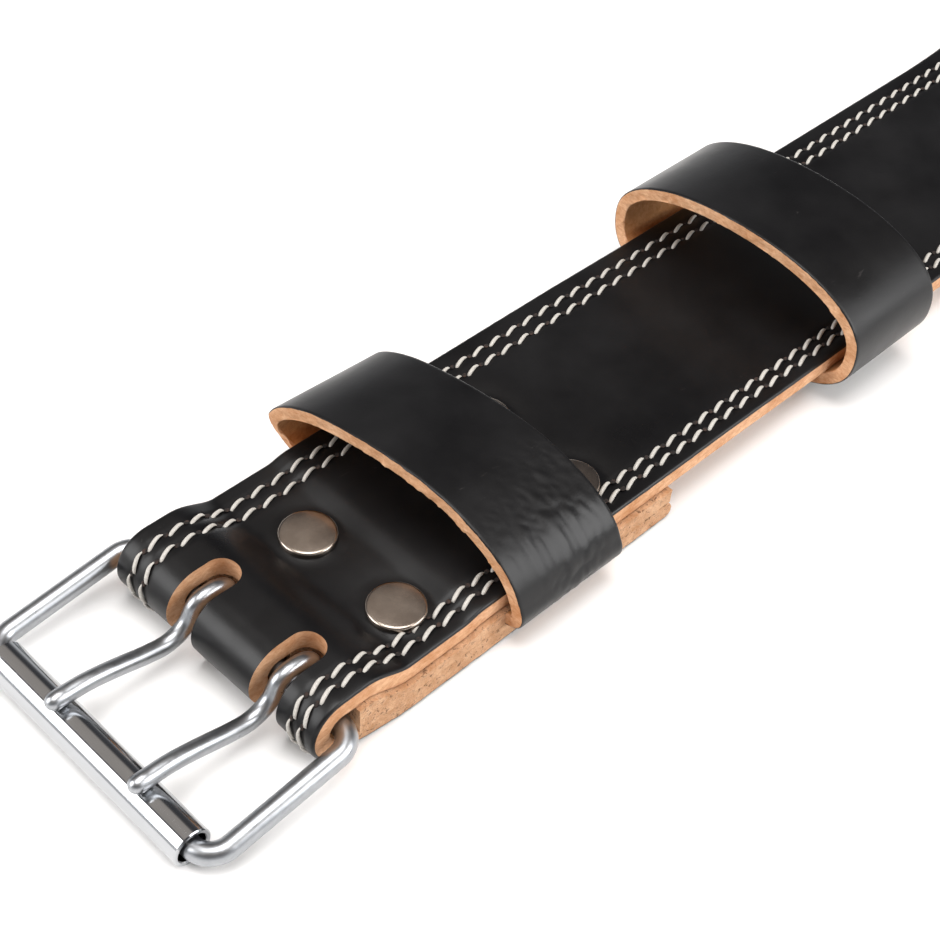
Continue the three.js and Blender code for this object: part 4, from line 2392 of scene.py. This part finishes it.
@dataclass
class Studio:
    """A plain pale table under soft boxes, and the camera at the photograph's angle."""

    floor_size: float = 8.0
    floor_drop: float = 0.1
    floor_colour: str = "#f7f6f5"
    wall_colour: str = "#dcdddf"
    gap_colour: str = "#4c4c4f"
    ceiling_colour: str = "#b8b0a9"
    dark_side: Point = (0.8, 0.25, 0.55)
    sky_strength: float = 1.0
    camera_place: Point = (-650.34, -178.75, 280.58)
    azimuth: float = -48.04
    elevation: float = 45.11
    roll: float = 4.44
    lens: float = 67.72
    sensor: float = 36.0
    lights: tuple[SoftBox, ...] = (
        SoftBox("key_left", (-2.1, 1.1, 1.2), (-0.45, 0, 0), 1.5, 40),
        SoftBox("fill_right", (0.55, -1.6, 1.1), (-0.45, 0, 0), 1.4, 38),
        SoftBox("overhead", (-0.5, -0.1, 2.4), (-0.3, 0, 0), 1.6, 48),
    )

    def floor(self) -> None:
        """Lay the table."""
        half = self.floor_size / 2
        z = -self.floor_drop * MM
        mesh = bpy.data.meshes.new("table")
        mesh.from_pydata(
            [(-half, -half, z), (half, -half, z), (half, half, z), (-half, half, z)],
            [],
            [(0, 1, 2, 3)],
        )
        material, tree = new_material("matt_white_table")
        add_shader(tree, {"Base Color": linear(self.floor_colour), "Roughness": 0.9})
        mesh.materials.append(material)
        table = new_object("table", mesh)

    def sky(self) -> None:
        """Light the room from pale walls to a darker ceiling."""
        world = bpy.data.worlds.new("studio")
        world.use_nodes = True
        tree = world.node_tree
        tree.nodes.clear()
        paint = Painter(tree, "Generated")
        parts = add_node(tree, "ShaderNodeSeparateXYZ", links={0: paint.place})
        rise = paint.remap(parts.outputs["Z"], 0.15, 0.45)
        top = paint.remap(parts.outputs["Z"], 0.6, 0.72)
        walls = paint.mix(rise, self.wall_colour, self.gap_colour)
        ceiling = paint.mix(top, walls, self.ceiling_colour)
        towards = add_node(
            tree,
            "ShaderNodeVectorMath",
            {1: Vector(self.dark_side).normalized()},
            {0: paint.place},
            operation="DOT_PRODUCT",
        )
        dark = paint.remap(towards.outputs["Value"], 0.9, 0.94, end=0.85)
        shade = paint.mix(dark, ceiling, self.gap_colour)
        glow = add_node(
            tree, "ShaderNodeBackground", {"Strength": self.sky_strength}, {"Color": shade}
        )
        add_node(tree, "ShaderNodeOutputWorld", links={"Surface": glow.outputs[0]})
        bpy.context.scene.world = world

    def camera(self) -> None:
        """Set the camera where the photograph was taken from."""
        azimuth, elevation, roll = (
            math.radians(a) for a in (self.azimuth, self.elevation, self.roll)
        )
        back = Vector(
            (
                math.sin(azimuth) * math.cos(elevation),
                -math.cos(azimuth) * math.cos(elevation),
                math.sin(elevation),
            )
        )
        level = Vector((math.cos(azimuth), math.sin(azimuth), 0.0))
        rise = back.cross(level)
        right = level * math.cos(roll) + rise * math.sin(roll)
        up = rise * math.cos(roll) - level * math.sin(roll)
        data = bpy.data.cameras.new("camera")
        data.lens = self.lens
        data.sensor_width = self.sensor
        data.clip_start = 0.01
        camera = bpy.data.objects.new("camera", data)
        turn = Matrix((right, up, back)).transposed().to_4x4()
        camera.matrix_world = Matrix.Translation(Vector(self.camera_place) * MM) @ turn
        bpy.context.scene.collection.objects.link(camera)
        bpy.context.scene.camera = camera

    def build(self) -> None:
        """Set up the table, the room, the lights and the camera."""
        self.floor()
        self.sky()
        for light in self.lights:
            light.build()
        self.camera()
        bpy.context.scene.view_settings.view_transform = "Standard"


def loop_forms(sizes: BeltSizes) -> tuple[LoopForm, LoopForm]:
    """Return the runs of the two keepers.

    Args:
        sizes: The belt's sizes.

    Returns:
        The fixed keeper's and the sliding keeper's.
    """
    inner = sizes.strap_width / 2 + sizes.half_wall
    rise = sizes.sliding_keeper_height - sizes.keeper_wall
    fixed = LoopForm(
        "keeper_fixed_leather",
        "keeper_fixed",
        FIXED_SECTION,
        inner + sizes.keeper_side_gap,
        sizes.tab_height,
        sizes.fixed_arch_near,
        sizes.fixed_arch_far,
        sizes.fixed_arch_lean,
        sizes.fixed_keeper_at,
    )
    sliding = LoopForm(
        "keeper_sliding_leather",
        "keeper_sliding",
        oval_section(32, sizes.sliding_foot_power, sizes.sliding_arch_power),
        inner + sizes.sliding_keeper_side_gap,
        sizes.half_wall,
        rise,
        rise,
        0.0,
        sizes.sliding_keeper_at,
    )
    return fixed, sliding


def main() -> None:
    """Build the belt's pieces in order and report each."""
    logging.basicConfig(level=logging.INFO, format="%(name)s: %(message)s")
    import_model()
    sizes = BeltSizes()
    workshop = Workshop()
    fixed, sliding = loop_forms(sizes)
    made = [Strap(sizes, workshop).build()]
    made.append(FixedKeeper(sizes, workshop, fixed).build())
    made.append(SlidingKeeper(sizes, workshop, sliding).build())
    made.append(Rivets(sizes, workshop).build())
    made += Buckle(sizes, workshop).build()
    made += Stitching(sizes, workshop).build()
    for piece in made:
        LOG.info("%s: %d faces", piece.name, len(piece.data.polygons))
    Studio().build()


if __name__ == "__main__":
    main()
